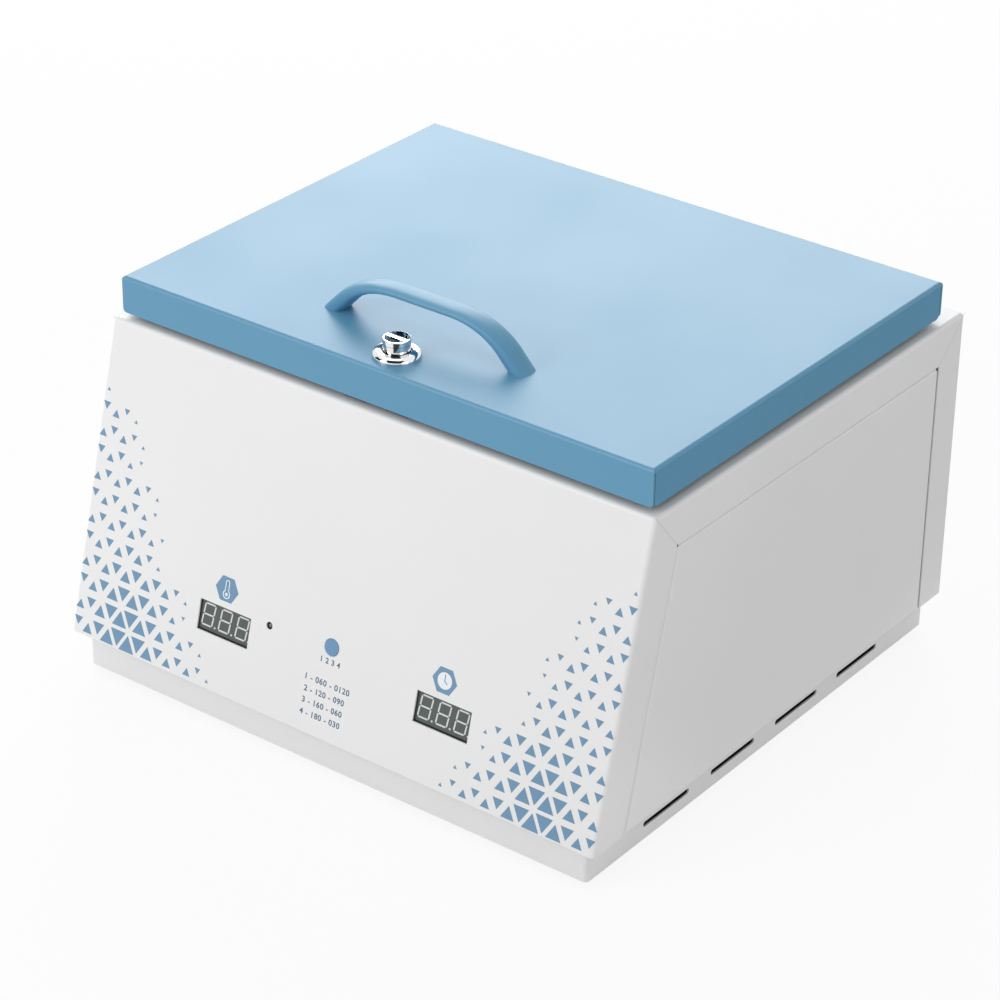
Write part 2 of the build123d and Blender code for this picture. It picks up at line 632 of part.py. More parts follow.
def make_chamber_insulation():
    """Block of mineral wool round the tank, with a pocket for the heating element below it."""
    wall, gap = WOOL_WALL, WOOL_CLEARANCE
    low, high = WOOL_POCKET, WOOL_TOP + wall
    wool = rounded_block(TANK_X + wall, TANK_HALF_Y + wall, WOOL_CORNER_R, CHAMBER_Y, WOOL_BOTTOM, WOOL_TOP)
    wool -= rounded_block(TANK_X + gap, TANK_HALF_Y + gap, TANK_CORNER_R + gap, CHAMBER_Y, low, high)
    wool -= rod_y(PROBE_X, PROBE_Z, TANK_REAR_Y, TANK_REAR_Y + 2 * wall, PROBE_R + gap)
    for x, y in heater_leg_places():
        wool -= rod(x, y, WOOL_BOTTOM - wall, WOOL_POCKET + gap, HEATER_R + SLEEVE_WALL + gap)
    return wool


def make_bracket(side):
    """Folded channel on the base pan that carries the insulation and the chamber."""
    x1 = TANK_X + WOOL_WALL - BRACKET_SIDE_INSET
    x0 = x1 - BRACKET_FLANGE
    half = TANK_HALF_Y + WOOL_WALL - BRACKET_END_INSET
    y0, y1 = CHAMBER_Y - half, CHAMBER_Y + half
    wall = BRACKET_SHEET
    channel = block(x0, x1, y0, y1, CASE_BOTTOM, WOOL_BOTTOM)
    channel -= block(x0 - wall, x1 - wall, y0, y1, CASE_BOTTOM + wall, WOOL_BOTTOM - wall)
    middle = (CASE_BOTTOM + WOOL_BOTTOM) / 2
    for step in (-1, 0, 1):
        y = CHAMBER_Y + step * (half - BRACKET_HOLE_INSET)
        channel -= rod_x(y, middle, x1 - 2 * wall, x1 + wall, BRACKET_HOLE_R)
    return channel if side > 0 else mirror(channel, Plane.YZ)


def heater_rows():
    """Y of each straight run of the heating element."""
    return [CHAMBER_Y + (row - (HEATER_RUNS - 1) / 2) * HEATER_PITCH for row in range(HEATER_RUNS)]


def heater_leg_places():
    """Places of the two upright legs at the ends of the heating element."""
    rows = heater_rows()
    last = -1 if HEATER_RUNS % 2 == 0 else 1
    return [(-HEATER_X, rows[0]), (last * HEATER_X, rows[-1])]


def make_heating_element():
    """Sheathed tube bent into a flat serpentine, with both ends turned down."""
    low = sleeve_foot() + HEATER_END_RECESS
    rows = heater_rows()
    route = [(-HEATER_X, rows[0], low)]
    end = -1
    for y in rows:
        route.append((end * HEATER_X, y, HEATER_Z))
        end = -end
        route.append((end * HEATER_X, y, HEATER_Z))
    route.append((end * HEATER_X, rows[-1], low))
    bend = (HEATER_PITCH - HEATER_BEND_STRAIGHT) / 2
    radii = [HEATER_LEG_BEND_R] + [bend] * (len(route) - 4) + [HEATER_LEG_BEND_R]
    path = FilletPolyline(*route, radius=radii)
    return sweep(Pos(*route[0]) * Circle(HEATER_R), path=path)


def sleeve_foot():
    """Height of the lower end of the ceramic sleeves, which stand out below the insulation."""
    return WOOL_BOTTOM - SLEEVE_DROP


def make_heater_sleeve(x, y):
    """Ceramic sleeve round a leg of the element where it leaves the insulation."""
    low = sleeve_foot()
    sleeve = rod(x, y, low, low + SLEEVE_LENGTH, HEATER_R + SLEEVE_WALL)
    return sleeve - rod(x, y, low - SLEEVE_LENGTH, low + 2 * SLEEVE_LENGTH, HEATER_R + SLEEVE_FIT)


def clamp_columns():
    """X of the bars that hold the element, spread over the straight part of its runs."""
    reach = HEATER_X - CLAMP_END_INSET
    return [(2 * index / (CLAMP_COUNT - 1) - 1) * reach for index in range(CLAMP_COUNT)]


def make_heater_clamp(x):
    """Flat bar under the runs of the element, hung on two studs from the tank."""
    rows = heater_rows()
    top = HEATER_Z - HEATER_R - HEATER_SEAT_GAP
    y0, y1 = rows[0] - CLAMP_OVERHANG, rows[-1] + CLAMP_OVERHANG
    clamp = block(x - CLAMP_WIDTH / 2, x + CLAMP_WIDTH / 2, y0, y1, top - CLAMP_THICKNESS, top)
    for y in (y0 + CLAMP_WIDTH / 4, y1 - CLAMP_WIDTH / 4):
        clamp += rod(x, y, top - CLAMP_THICKNESS, TANK_BOTTOM, CLAMP_BOLT_R)
    return clamp


def make_temperature_probe():
    """Round sensor tube with a domed tip, through the rear of the tank and the insulation."""
    tip = CHAMBER_Y + CHAMBER_HALF_Y - PROBE_REACH
    probe = rod_y(PROBE_X, PROBE_Z, tip, TANK_REAR_Y + WOOL_WALL + PROBE_TAIL, PROBE_R)
    return fillet(probe.edges().group_by(Axis.Y)[0], PROBE_TIP_R)


def make_probe_nut():
    """Hexagon nut that holds the probe against the inside of the tank."""
    inside = CHAMBER_Y + CHAMBER_HALF_Y
    plan = Plane(origin=(PROBE_X, inside, PROBE_Z), x_dir=(1, 0, 0), z_dir=(0, -1, 0))
    nut = extrude(plan * RegularPolygon(PROBE_NUT_R, 6), PROBE_NUT_THICKNESS)
    before, behind = inside - 2 * PROBE_NUT_THICKNESS, inside + CHAMBER_WALL
    return nut - rod_y(PROBE_X, PROBE_Z, before, behind, PROBE_R + PROBE_FIT)


def make_thermal_cutout():
    """Round cut-out thermostat pressed to the underside of the tank, between two of the bars."""
    x = (clamp_columns()[-1] + clamp_columns()[-2]) / 2
    low = TANK_BOTTOM - CUTOUT_HEIGHT
    cutout = rod(x, CHAMBER_Y, low + CUTOUT_HEIGHT / 2, TANK_BOTTOM, CUTOUT_R)
    return cutout + rod(x, CHAMBER_Y, low, low + CUTOUT_HEIGHT / 2, CUTOUT_NECK_R)


def make_instrument_tray():
    """Shallow perforated tray with a flat rim."""
    wall, rim = TRAY_SHEET, TRAY_RIM
    low, top = TRAY_FLOOR, TRAY_FLOOR + TRAY_HEIGHT
    tray = rounded_block(TRAY_X, TRAY_HALF_Y, TRAY_CORNER_R, CHAMBER_Y, low, top)
    tray += rounded_block(TRAY_X + rim, TRAY_HALF_Y + rim, TRAY_CORNER_R + rim, CHAMBER_Y, top - wall, top)
    inner_x, inner_y, inner_r = TRAY_X - wall, TRAY_HALF_Y - wall, TRAY_CORNER_R - wall
    tray -= rounded_block(inner_x, inner_y, inner_r, CHAMBER_Y, low + wall, top + wall)
    cutter = extrude(Pos(0, 0, -wall) * SlotOverall(TRAY_SLOT_LENGTH, TRAY_SLOT_WIDTH), 3 * wall)
    columns = slot_places(TRAY_X, TRAY_SLOT_LENGTH, TRAY_SLOT_PITCH_X)
    rows = slot_places(TRAY_HALF_Y, TRAY_SLOT_WIDTH, TRAY_SLOT_PITCH_Y)
    return tray - [Pos(x, CHAMBER_Y + y, low) * cutter for x in columns for y in rows]


def slot_places(half, size, pitch):
    """Middles of as many slots as fit the tray's floor one way, spread evenly about its middle."""
    steps = int((2 * (half - TRAY_SLOT_MARGIN) - size) / pitch)
    return [(index - steps / 2) * pitch for index in range(steps + 1)]


def make_tray_rail(side):
    """Folded steel rail on the chamber floor that keeps the tray off it."""
    x = side * (TRAY_X - RAIL_SIDE_INSET)
    reach = TRAY_HALF_Y - RAIL_END_INSET
    y0, y1 = CHAMBER_Y - reach, CHAMBER_Y + reach
    half = RAIL_WIDTH / 2
    rail = block(x - half, x + half, y0, y1, CHAMBER_FLOOR, TRAY_FLOOR)
    inner = half - TRAY_SHEET
    return rail - block(x - inner, x + inner, y0, y1, CHAMBER_FLOOR - TRAY_SHEET, TRAY_FLOOR - TRAY_SHEET)


def make_display(side):
    """Three digit display block behind its window, standing on the control board."""
    face = -SHEET - DISPLAY_BACK_GAP
    return on_front(side * DISPLAY_X, DISPLAY_UP, -BOARD_FACE, face, DISPLAY_WIDTH, DISPLAY_HEIGHT)


def make_indicator_led():
    """Round lamp with a domed tip on a spacer, looking through its hole."""
    led = rod_on_front(LED_X, LED_UP, -BOARD_FACE, -LED_TIP_DEPTH, LED_R)
    tip = led.edges().sort_by(lambda edge: (edge.center() - FRONT.origin).dot(FRONT.z_dir))[-1]
    led = fillet(tip, LED_TIP_R)
    return led + rod_on_front(LED_X, LED_UP, -BOARD_FACE, LED_SPACER_LENGTH - BOARD_FACE, LED_SPACER_R)


def make_button():
    """Round push button: a cap in the front, a flange that keeps it in and a stem."""
    neck = -SHEET - BUTTON_REST_GAP
    shoulder = neck - BUTTON_FLANGE_THICKNESS
    cap = rod_on_front(BUTTON_X, BUTTON_UP, neck, BUTTON_PROUD, BUTTON_R)
    rim = cap.edges().sort_by(lambda edge: (edge.center() - FRONT.origin).dot(FRONT.z_dir))[-1]
    cap = fillet(rim, BUTTON_EDGE_R)
    cap += rod_on_front(BUTTON_X, BUTTON_UP, shoulder, neck, BUTTON_FLANGE_R)
    return cap + rod_on_front(BUTTON_X, BUTTON_UP, shoulder - BUTTON_STEM_LENGTH, shoulder, BUTTON_STEM_R)


def make_key_switch():
    """Small push switch on the control board, just behind the button's stem."""
    stem_end = SHEET + BUTTON_REST_GAP + BUTTON_FLANGE_THICKNESS + BUTTON_STEM_LENGTH
    key = on_front(BUTTON_X, BUTTON_UP, -BOARD_FACE, KEY_BODY_HEIGHT - BOARD_FACE, KEY_BODY, KEY_BODY)
    top = -stem_end - BUTTON_TRAVEL - KEY_GAP
    return key + rod_on_front(BUTTON_X, BUTTON_UP, -BOARD_FACE, top, KEY_PLUNGER_R)


def control_board_screws():
    """Screw places of the control board on the leaning front."""
    return [(x, up + CONTROL_BOARD_UP) for x, up in board_corners(CONTROL_BOARD_WIDTH, CONTROL_BOARD_HEIGHT)]


def power_board_screws():
    """Screw places of the power board on the base pan."""
    corners = board_corners(POWER_BOARD_WIDTH, POWER_BOARD_LENGTH)
    return [(x + POWER_BOARD_X, y + POWER_BOARD_Y) for x, y in corners]


def make_control_board():
    """Circuit board along the leaning front, behind the displays."""
    back = -BOARD_FACE - BOARD_THICKNESS
    board = on_front(0, CONTROL_BOARD_UP, back, -BOARD_FACE, CONTROL_BOARD_WIDTH, CONTROL_BOARD_HEIGHT)
    for x, up in control_board_screws():
        board -= rod_on_front(x, up, back - SHEET, SHEET - BOARD_FACE, HOLE_R)
    return board


def make_power_board():
    """Circuit board on the base pan that switches the heating element."""
    half_x, half_y = POWER_BOARD_WIDTH / 2, POWER_BOARD_LENGTH / 2
    x, y = POWER_BOARD_X, POWER_BOARD_Y
    board = block(x - half_x, x + half_x, y - half_y, y + half_y, POWER_BOARD_Z, POWER_BOARD_TOP)
    for hx, hy in power_board_screws():
        board -= rod(hx, hy, POWER_BOARD_Z - SHEET, POWER_BOARD_TOP + SHEET, HOLE_R)
    return board


def make_standoffs():
    """Threaded posts under the corners of both boards."""
    posts = []
    for x, up in control_board_screws():
        post = rod_on_front(x, up, -BOARD_FACE, -SHEET, STANDOFF_R)
        posts.append(post - rod_on_front(x, up, -BOARD_FACE - SHEET, -2 * SHEET, HOLE_R))
    for x, y in power_board_screws():
        post = rod(x, y, CASE_BOTTOM, POWER_BOARD_Z, STANDOFF_R)
        posts.append(post - rod(x, y, CASE_BOTTOM + SHEET, POWER_BOARD_Z + SHEET, HOLE_R))
    return posts


def make_board_screws():
    """Screws that hold both boards on their posts."""
    length = BOARD_THICKNESS + SCREW_GRIP
    back = -BOARD_FACE - BOARD_THICKNESS
    screw = pan_screw(length)
    screws = [FRONT * Pos(x, up, back) * Rot(180, 0, 0) * screw for x, up in control_board_screws()]
    return screws + [Pos(x, y, POWER_BOARD_TOP) * screw for x, y in power_board_screws()]


def make_transformer():
    """Moulded transformer block on the power board."""
    x, y = POWER_BOARD_X + TRANSFORMER_X, POWER_BOARD_Y + TRANSFORMER_Y
    half_x, half_y = TRANSFORMER_WIDTH / 2, TRANSFORMER_LENGTH / 2
    top = POWER_BOARD_TOP + TRANSFORMER_HEIGHT
    body = block(x - half_x, x + half_x, y - half_y, y + half_y, POWER_BOARD_TOP, top)
    return chamfer(body.edges().group_by(Axis.Z)[-1], SHEET)


def make_heatsink():
    """Finned heat sink of the heater's switching part."""
    x, y = POWER_BOARD_X + HEATSINK_X, POWER_BOARD_Y + HEATSINK_Y
    half_x, half_y = HEATSINK_WIDTH / 2, HEATSINK_LENGTH / 2
    low, top = POWER_BOARD_TOP, POWER_BOARD_TOP + HEATSINK_HEIGHT
    sink = block(x - half_x, x + half_x, y - half_y, y + half_y, low, low + HEATSINK_BASE)
    pitch = (HEATSINK_WIDTH - HEATSINK_FIN) / (HEATSINK_FINS - 1)
    for index in range(HEATSINK_FINS):
        x0 = x - half_x + index * pitch
        sink += block(x0, x0 + HEATSINK_FIN, y - half_y, y + half_y, low, top)
    return sink


def make_terminal_block():
    """Row of screw terminals for the mains and heater leads."""
    y = POWER_BOARD_Y + TERMINAL_Y
    half_x, half_y = TERMINAL_WAYS * TERMINAL_WAY / 2, TERMINAL_LENGTH / 2
    x0, x1 = POWER_BOARD_X - half_x, POWER_BOARD_X + half_x
    top = POWER_BOARD_TOP + TERMINAL_HEIGHT
    strip = block(x0, x1, y - half_y, y + half_y, POWER_BOARD_TOP, top)
    for index in range(TERMINAL_WAYS):
        x = x0 + (index + 1 / 2) * TERMINAL_WAY
        strip -= rod(x, y, top - TERMINAL_HEIGHT / 2, top + SHEET, TERMINAL_HOLE_R)
    return strip


def make_mains_inlet():
    """Mains inlet with a screwed flange, a keyed socket and three flat blades."""
    x, z = INLET_X, REAR_FITTING_Z
    outer = REAR_Y + INLET_FLANGE_THICKNESS
    rear = Plane(origin=(x, outer, z), x_dir=(-1, 0, 0), z_dir=(0, 1, 0))
    flange = RectangleRounded(INLET_FLANGE_WIDTH, INLET_FLANGE_HEIGHT, INLET_FLANGE_R)
    inlet = extrude(rear * flange, -INLET_FLANGE_THICKNESS)
    body = Rectangle(INLET_BODY_WIDTH, INLET_BODY_HEIGHT)
    inlet += extrude(rear * body, -INLET_FLANGE_THICKNESS - INLET_BODY_DEPTH)
    mouth = Rectangle(INLET_SOCKET_WIDTH, INLET_SOCKET_HEIGHT)
    mouth = chamfer(mouth.vertices().group_by(Axis.Y)[-1], INLET_SOCKET_CHAMFER)
    inlet -= extrude(rear * mouth, -INLET_SOCKET_DEPTH)
    floor = outer - INLET_SOCKET_DEPTH
    half_x, half_z = INLET_BLADE_WIDTH / 2, INLET_BLADE_HEIGHT / 2
    for step, rise in ((-1, 0), (0, INLET_EARTH_RISE), (1, 0)):
        bx, bz = x + step * INLET_BLADE_SPACING, z + rise
        inlet += block(bx - half_x, bx + half_x, floor, floor + INLET_BLADE_LENGTH, bz - half_z, bz + half_z)
    for side in (-1, 1):
        inlet -= inlet_screw_place(side) * flush_hole(INLET_BODY_DEPTH)
    return inlet


def inlet_screw_place(side):
    """Place of a flange screw of the mains inlet, pointing out of the rear wall."""
    x = INLET_X + side * INLET_SCREW_SPACING / 2
    return Pos(x, REAR_Y + INLET_FLANGE_THICKNESS, REAR_FITTING_Z) * Rot(-90, 0, 0)


def rocker_outline():
    """Side outline of the rocker in its middle place, as (out, up) from its pivot."""
    tilt = radians(ROCKER_TILT)
    reach = ROCKER_FACE * cos(tilt)
    tip = (ROCKER_PROUD + ROCKER_PIVOT_DEPTH - reach * sin(tilt)) / cos(tilt)
    middle = tip - ROCKER_FACE * sin(tilt)
    upper = [(middle, 0), (tip, reach), (tip - ROCKER_EDGE, reach), (-ROCKER_BACK, ROCKER_BACK_HALF)]
    return upper + [(out, -up) for out, up in reversed(upper[1:])]


def make_rocker():
    """Rocker with a shallow V face, pressed in at its foot, on a pin through its middle."""
    y, z = rocker_pivot()
    across, along = cos(radians(ROCKER_TILT)), sin(radians(ROCKER_TILT))
    points = [(y + out * across + up * along, z - out * along + up * across) for out, up in rocker_outline()]
    half = ROCKER_WIDTH / 2
    rocker = prism_x(points, SWITCH_X - half, SWITCH_X + half)
    pin = half + ROCKER_PIN_LENGTH
    return rocker + rod_x(y, z, SWITCH_X - pin, SWITCH_X + pin, ROCKER_PIN_R)


def rocker_pivot():
    """Y and Z of the rocker's pin."""
    return REAR_Y + SWITCH_BEZEL_THICKNESS - ROCKER_PIVOT_DEPTH, REAR_FITTING_Z


def make_switch_housing():
    """Snap-in switch body with a raised frame and a pocket for the rocker."""
    x, z = SWITCH_X, REAR_FITTING_Z
    rear = Plane(origin=(x, REAR_Y + SWITCH_BEZEL_THICKNESS, z), x_dir=(-1, 0, 0), z_dir=(0, 1, 0))
    frame = RectangleRounded(SWITCH_BEZEL_WIDTH, SWITCH_BEZEL_HEIGHT, SWITCH_BEZEL_R)
    housing = extrude(rear * frame, -SWITCH_BEZEL_THICKNESS)
    body = Rectangle(SWITCH_BODY_WIDTH, SWITCH_BODY_HEIGHT)
    housing += extrude(rear * body, -SWITCH_BEZEL_THICKNESS - SWITCH_BODY_DEPTH)
    swing = max(sqrt(out * out + up * up) for out, up in rocker_outline())
    width = ROCKER_WIDTH + 2 * ROCKER_CLEARANCE
    pocket = Rectangle(width, 2 * swing + ROCKER_CLEARANCE)
    housing -= extrude(rear * pocket, -ROCKER_PIVOT_DEPTH - swing)
    y, z = rocker_pivot()
    pin = ROCKER_WIDTH / 2 + ROCKER_PIN_LENGTH + ROCKER_PIN_FIT
    return housing - rod_x(y, z, x - pin, x + pin, ROCKER_PIN_R + ROCKER_PIN_FIT)


def hinge_leaf_start():
    """Distance from the hinge axis at which both leaves clear the other's knuckles."""
    return HINGE_KNUCKLE_R + HINGE_LEAF_GAP


def knuckle_length():
    """Length of each of the three knuckles of a hinge."""
    return (HINGE_LENGTH - 2 * HINGE_KNUCKLE_GAP) / 3


def hinge_screw_places(side):
    """Places of the two screws of a hinge's casing leaf."""
    y = HINGE_Y + (hinge_leaf_start() + HINGE_CASE_LEAF) / 2
    return [(side * HINGE_X + step * HINGE_SCREW_SPACING / 2, y) for step in (-1, 1)]


def lid_screw_height():
    """Height of the screws of a hinge's lid leaf."""
    return HINGE_Z + (hinge_leaf_start() + HINGE_LID_LEAF) / 2


def make_case_leaf(side):
    """Hinge leaf on the casing: flat plate, two tongues and the outer knuckles."""
    x = side * HINGE_X
    half, knuckle = HINGE_LENGTH / 2, knuckle_length()
    low, high = CASE_TOP, CASE_TOP + HINGE_SHEET
    leaf = block(x - half, x + half, HINGE_Y + hinge_leaf_start(), HINGE_Y + HINGE_CASE_LEAF, low, high)
    for x0 in (x - half, x + half - knuckle):
        leaf += rod_x(HINGE_Y, HINGE_Z, x0, x0 + knuckle, HINGE_KNUCKLE_R)
        leaf += block(x0, x0 + knuckle, HINGE_Y, HINGE_Y + hinge_leaf_start(), low, high)
    leaf -= rod_x(HINGE_Y, HINGE_Z, x - half - SHEET, x + half + SHEET, HINGE_PIN_R)
    for sx, sy in hinge_screw_places(side):
        leaf -= Pos(sx, sy, high) * flush_hole(HINGE_CASE_LEAF)
    return leaf


def make_lid_leaf(side):
    """Hinge leaf on the lid: upright plate, one tongue and the middle knuckle."""
    x = side * HINGE_X
    half, knuckle = HINGE_LENGTH / 2, knuckle_length()
    y0, y1 = LID_REAR_Y, LID_REAR_Y + HINGE_SHEET
    leaf = block(x - half, x + half, y0, y1, HINGE_Z + hinge_leaf_start(), HINGE_Z + HINGE_LID_LEAF)
    leaf += block(x - knuckle / 2, x + knuckle / 2, y0, y1, HINGE_Z, HINGE_Z + hinge_leaf_start())
    leaf += rod_x(HINGE_Y, HINGE_Z, x - knuckle / 2, x + knuckle / 2, HINGE_KNUCKLE_R)
    leaf -= rod_x(HINGE_Y, HINGE_Z, x - half, x + half, HINGE_PIN_R + HINGE_PIN_FIT)
    for step in (-1, 1):
        place = Pos(x + step * HINGE_SCREW_SPACING / 2, y1, lid_screw_height()) * Rot(-90, 0, 0)
        leaf -= place * flush_hole(HINGE_CASE_LEAF)
    return leaf


def make_lid_leaf_screws():
    """Countersunk screws of both lid leaves, through the rear skirt of the lid."""
    length = HINGE_SHEET + SHEET + LINER_CLEARANCE / 2
    columns = [side * HINGE_X + step * HINGE_SCREW_SPACING / 2 for side in (-1, 1) for step in (-1, 1)]
    place = Rot(-90, 0, 0) * flush_screw(length)
    return [Pos(x, LID_REAR_Y + HINGE_SHEET, lid_screw_height()) * place for x in columns]


def make_lid_cover():
    """Folded lid pan with rounded bends, open seams at its corners and relief holes above them."""
    lid = block(-LID_X, LID_X, LID_FRONT_Y, LID_REAR_Y, LID_BOTTOM, LID_TOP)
    lid = fillet(lid.edges().group_by(Axis.Z)[-1], LID_BEND_R)
    inner_x = LID_X - SHEET
    front, rear = LID_FRONT_Y + SHEET, LID_REAR_Y - SHEET
    hollow = block(-inner_x, inner_x, front, rear, LID_BOTTOM - SHEET, LID_CEILING)
    lid -= fillet(hollow.edges().group_by(Axis.Z)[-1], LID_BEND_R - SHEET)
    seam_top = LID_TOP - LID_SEAM_TOP
    for side in (-1, 1):
        x0, x1 = sorted((side * (inner_x - SHEET), side * (LID_X + SHEET)))
        for y0, y1 in ((front, front + LID_SEAM), (rear - LID_SEAM, rear)):
            lid -= block(x0, x1, y0, y1, LID_BOTTOM - SHEET, seam_top)
            lid -= rod_x((y0 + y1) / 2, seam_top, x0, x1, LID_SEAM)
    ends = lid.edges().group_by(Axis.Z)[0].filter_by(lambda edge: edge.length < 2 * SHEET)
    lid = fillet(ends, LID_CORNER_R)
    low, high = LID_CEILING - SHEET, LID_TOP + SHEET
    lid -= rod(0, LATCH_Y, low, high, LATCH_BARREL_R + LATCH_BARREL_CLEARANCE)
    for x in handle_screw_columns():
        lid -= rod(x, HANDLE_Y, low, high, HANDLE_SCREW_R + SCREW_FIT)
    for side in (-1, 1):
        for step in (-1, 1):
            x = side * HINGE_X + step * HINGE_SCREW_SPACING / 2
            lid -= rod_y(x, lid_screw_height(), rear - SHEET, LID_REAR_Y + SHEET, HOLE_R)
    return lid


def liner_size():
    """Half width, half length and middle of the lid's steel lining."""
    front = LATCH_Y + LINER_LATCH_SPACE
    rear = LID_REAR_Y - SHEET - LINER_CLEARANCE
    return LID_X - SHEET - LINER_CLEARANCE, (rear - front) / 2, (rear + front) / 2


def stud_places():
    """Places of the studs under the lid that carry its lining."""
    half_x = liner_size()[0] - STUD_SIDE_INSET
    half_y = TANK_HALF_Y - STUD_END_INSET
    return [(side * half_x, CHAMBER_Y + row * half_y) for side in (-1, 1) for row in (-1, 0, 1)]


def make_lid_liner():
    """Shallow steel pan that closes the lid from below."""
    half_x, half_y, y = liner_size()
    liner = rounded_block(half_x, half_y, LINER_CORNER_R, y, LINER_BOTTOM, LINER_BOTTOM + LINER_WALL)
    wall = LINER_SHEET
    liner -= rounded_block(half_x - wall, half_y - wall, LINER_CORNER_R - wall, y, LINER_TOP, LID_TOP)
    for stud_x, stud_y in stud_places():
        liner -= rod(stud_x, stud_y, LINER_BOTTOM - wall, LINER_TOP + wall, HOLE_R)
    return liner


def make_lid_insulation():
    """Mineral wool slab in the lid, cut round the studs."""
    half_x, half_y, y = liner_size()
    gap = LINER_SHEET + WOOL_CLEARANCE
    top = LID_CEILING - LID_WOOL_TOP_GAP
    slab = rounded_block(half_x - gap, half_y - gap, LINER_CORNER_R - LINER_SHEET, y, LINER_TOP, top)
    for stud_x, stud_y in stud_places():
        slab -= rod(stud_x, stud_y, LINER_TOP - gap, LID_TOP, STUD_R + WOOL_CLEARANCE)
    return slab


def make_lid_gasket():
    """Silicone ring under the lining, with a rounded bead that meets the chamber's rim."""
    line_x, line_y = TANK_X + RIM_WIDTH / 2, TANK_HALF_Y + RIM_WIDTH / 2
    line_r, half = TANK_CORNER_R + RIM_WIDTH / 2, GASKET_WIDTH / 2
    low, high = RIM_TOP + GASKET_CLEARANCE, LINER_BOTTOM
    ring = rounded_block(line_x + half, line_y + half, line_r + half, CHAMBER_Y, low, high)
    ring -= rounded_block(line_x - half, line_y - half, line_r - half, CHAMBER_Y, low - half, high + half)
    return fillet(ring.edges().group_by(Axis.Z)[0], GASKET_BEAD_R)


def make_studs():
    """Threaded studs between the lid and its lining."""
    studs = []
    for x, y in stud_places():
        stud = rod(x, y, LINER_TOP, LID_CEILING, STUD_R)
        studs.append(stud - rod(x, y, LINER_TOP - SHEET, LINER_TOP + SCREW_GRIP + SHEET, HOLE_R))
    return studs


def make_handle():
    """Bow handle with a rounded outer face and legs that spread to its two feet."""
    half = HANDLE_LENGTH / 2
    slope = HANDLE_SHOULDER_HEIGHT / HANDLE_LEG_SPREAD
    below = HANDLE_SECTION
    start = (-half - below / slope, -below)
    outer = [start, (HANDLE_LEG_SPREAD - half, HANDLE_SHOULDER_HEIGHT), (0, HANDLE_HEIGHT)]
    outer += [(-x, z) for x, z in reversed(outer[:-1])]
    route = [(x, HANDLE_Y, LID_TOP + z) for x, z in outer]
    path = FilletPolyline(*route, radius=[HANDLE_SHOULDER_R, HANDLE_CROWN_R, HANDLE_SHOULDER_R])
    lean = atan2(slope, 1)
    across = Plane(origin=route[0], x_dir=(0, 1, 0), z_dir=(cos(lean), 0, sin(lean)))
    side = HANDLE_WIDTH / 2
    left, right = (-side, -HANDLE_ROUNDING), (side, -HANDLE_ROUNDING)
    edges = Polyline(left, (-side, -HANDLE_SECTION), (side, -HANDLE_SECTION), right)
    crown = ThreePointArc(right, (0, 0), left)
    bow = sweep(across * make_face([edges, crown]), path=path)
    front, rear = HANDLE_Y - HANDLE_WIDTH, HANDLE_Y + HANDLE_WIDTH
    bow -= block(-HANDLE_LENGTH, HANDLE_LENGTH, front, rear, 0, LID_TOP)
    foot = half - HANDLE_FOOT_LENGTH
    gap = [(-foot, 0), (HANDLE_GAP_LEG_SPREAD - foot, HANDLE_GAP_SHOULDER_HEIGHT), (0, HANDLE_GAP_HEIGHT)]
    gap += [(-x, z) for x, z in reversed(gap[:-1])]
    ceiling = FilletPolyline(*gap, radius=[HANDLE_GAP_R, HANDLE_CROWN_R, HANDLE_GAP_R])
    under = make_face([ceiling, Polyline((foot, 0), (foot, -below), (-foot, -below), (-foot, 0))])
    back = Plane(origin=(0, rear, LID_TOP), x_dir=(1, 0, 0), z_dir=(0, -1, 0))
    bow -= extrude(back * under, rear - front, dir=(0, -1, 0))
    low, high = LID_TOP - SHEET, LID_TOP + HANDLE_SCREW_GRIP + SCREW_FIT
    for x in handle_screw_columns():
        bow -= rod(x, HANDLE_Y, low, high, HANDLE_SCREW_R + SCREW_FIT)
    return bow


def handle_screw_columns():
    """X of the two screws that hold the handle."""
    reach = HANDLE_LENGTH / 2 - HANDLE_SCREW_INSET
    return (-reach, reach)


def make_latch_body():
    """Turned rosette and barrel of the latch, with a seat that the knob sinks into."""
    bore, seat = SPINDLE_R + SPINDLE_CLEARANCE, KNOB_R + KNOB_CLEARANCE
    floor = ROSETTE_HEIGHT - KNOB_SINK - KNOB_CLEARANCE
    collar = seat + ROSETTE_COLLAR
    shoulder_r, shoulder_z = (ROSETTE_R + collar) / 2, (ROSETTE_EDGE + ROSETTE_HEIGHT) / 2
    bulge = ROSETTE_BULGE / sqrt(2)
    foot, crest, edge = -LATCH_BARREL_LENGTH, (collar, ROSETTE_HEIGHT), (ROSETTE_R, ROSETTE_EDGE)
    inside = [crest, (seat, ROSETTE_HEIGHT), (seat, floor), (bore, floor), (bore, foot)]
    outside = [(LATCH_BARREL_R, foot), (LATCH_BARREL_R, 0), (ROSETTE_R, 0), edge]
    dome = ThreePointArc(edge, (shoulder_r + bulge, shoulder_z + bulge), crest)
    profile = make_face([Polyline(*inside, *outside), dome])
    return Pos(0, LATCH_Y, LID_TOP) * revolve(Plane.XZ * profile, Axis.Z)


def make_latch_nut():
    """Hexagon nut that clamps the latch to the lid from below."""
    low = LID_CEILING - LATCH_NUT_THICKNESS
    nut = extrude(Pos(0, LATCH_Y, low) * RegularPolygon(LATCH_NUT_R, 6), LATCH_NUT_THICKNESS)
    return nut - rod(0, LATCH_Y, low - SHEET, LID_TOP, LATCH_BARREL_R + SCREW_FIT)


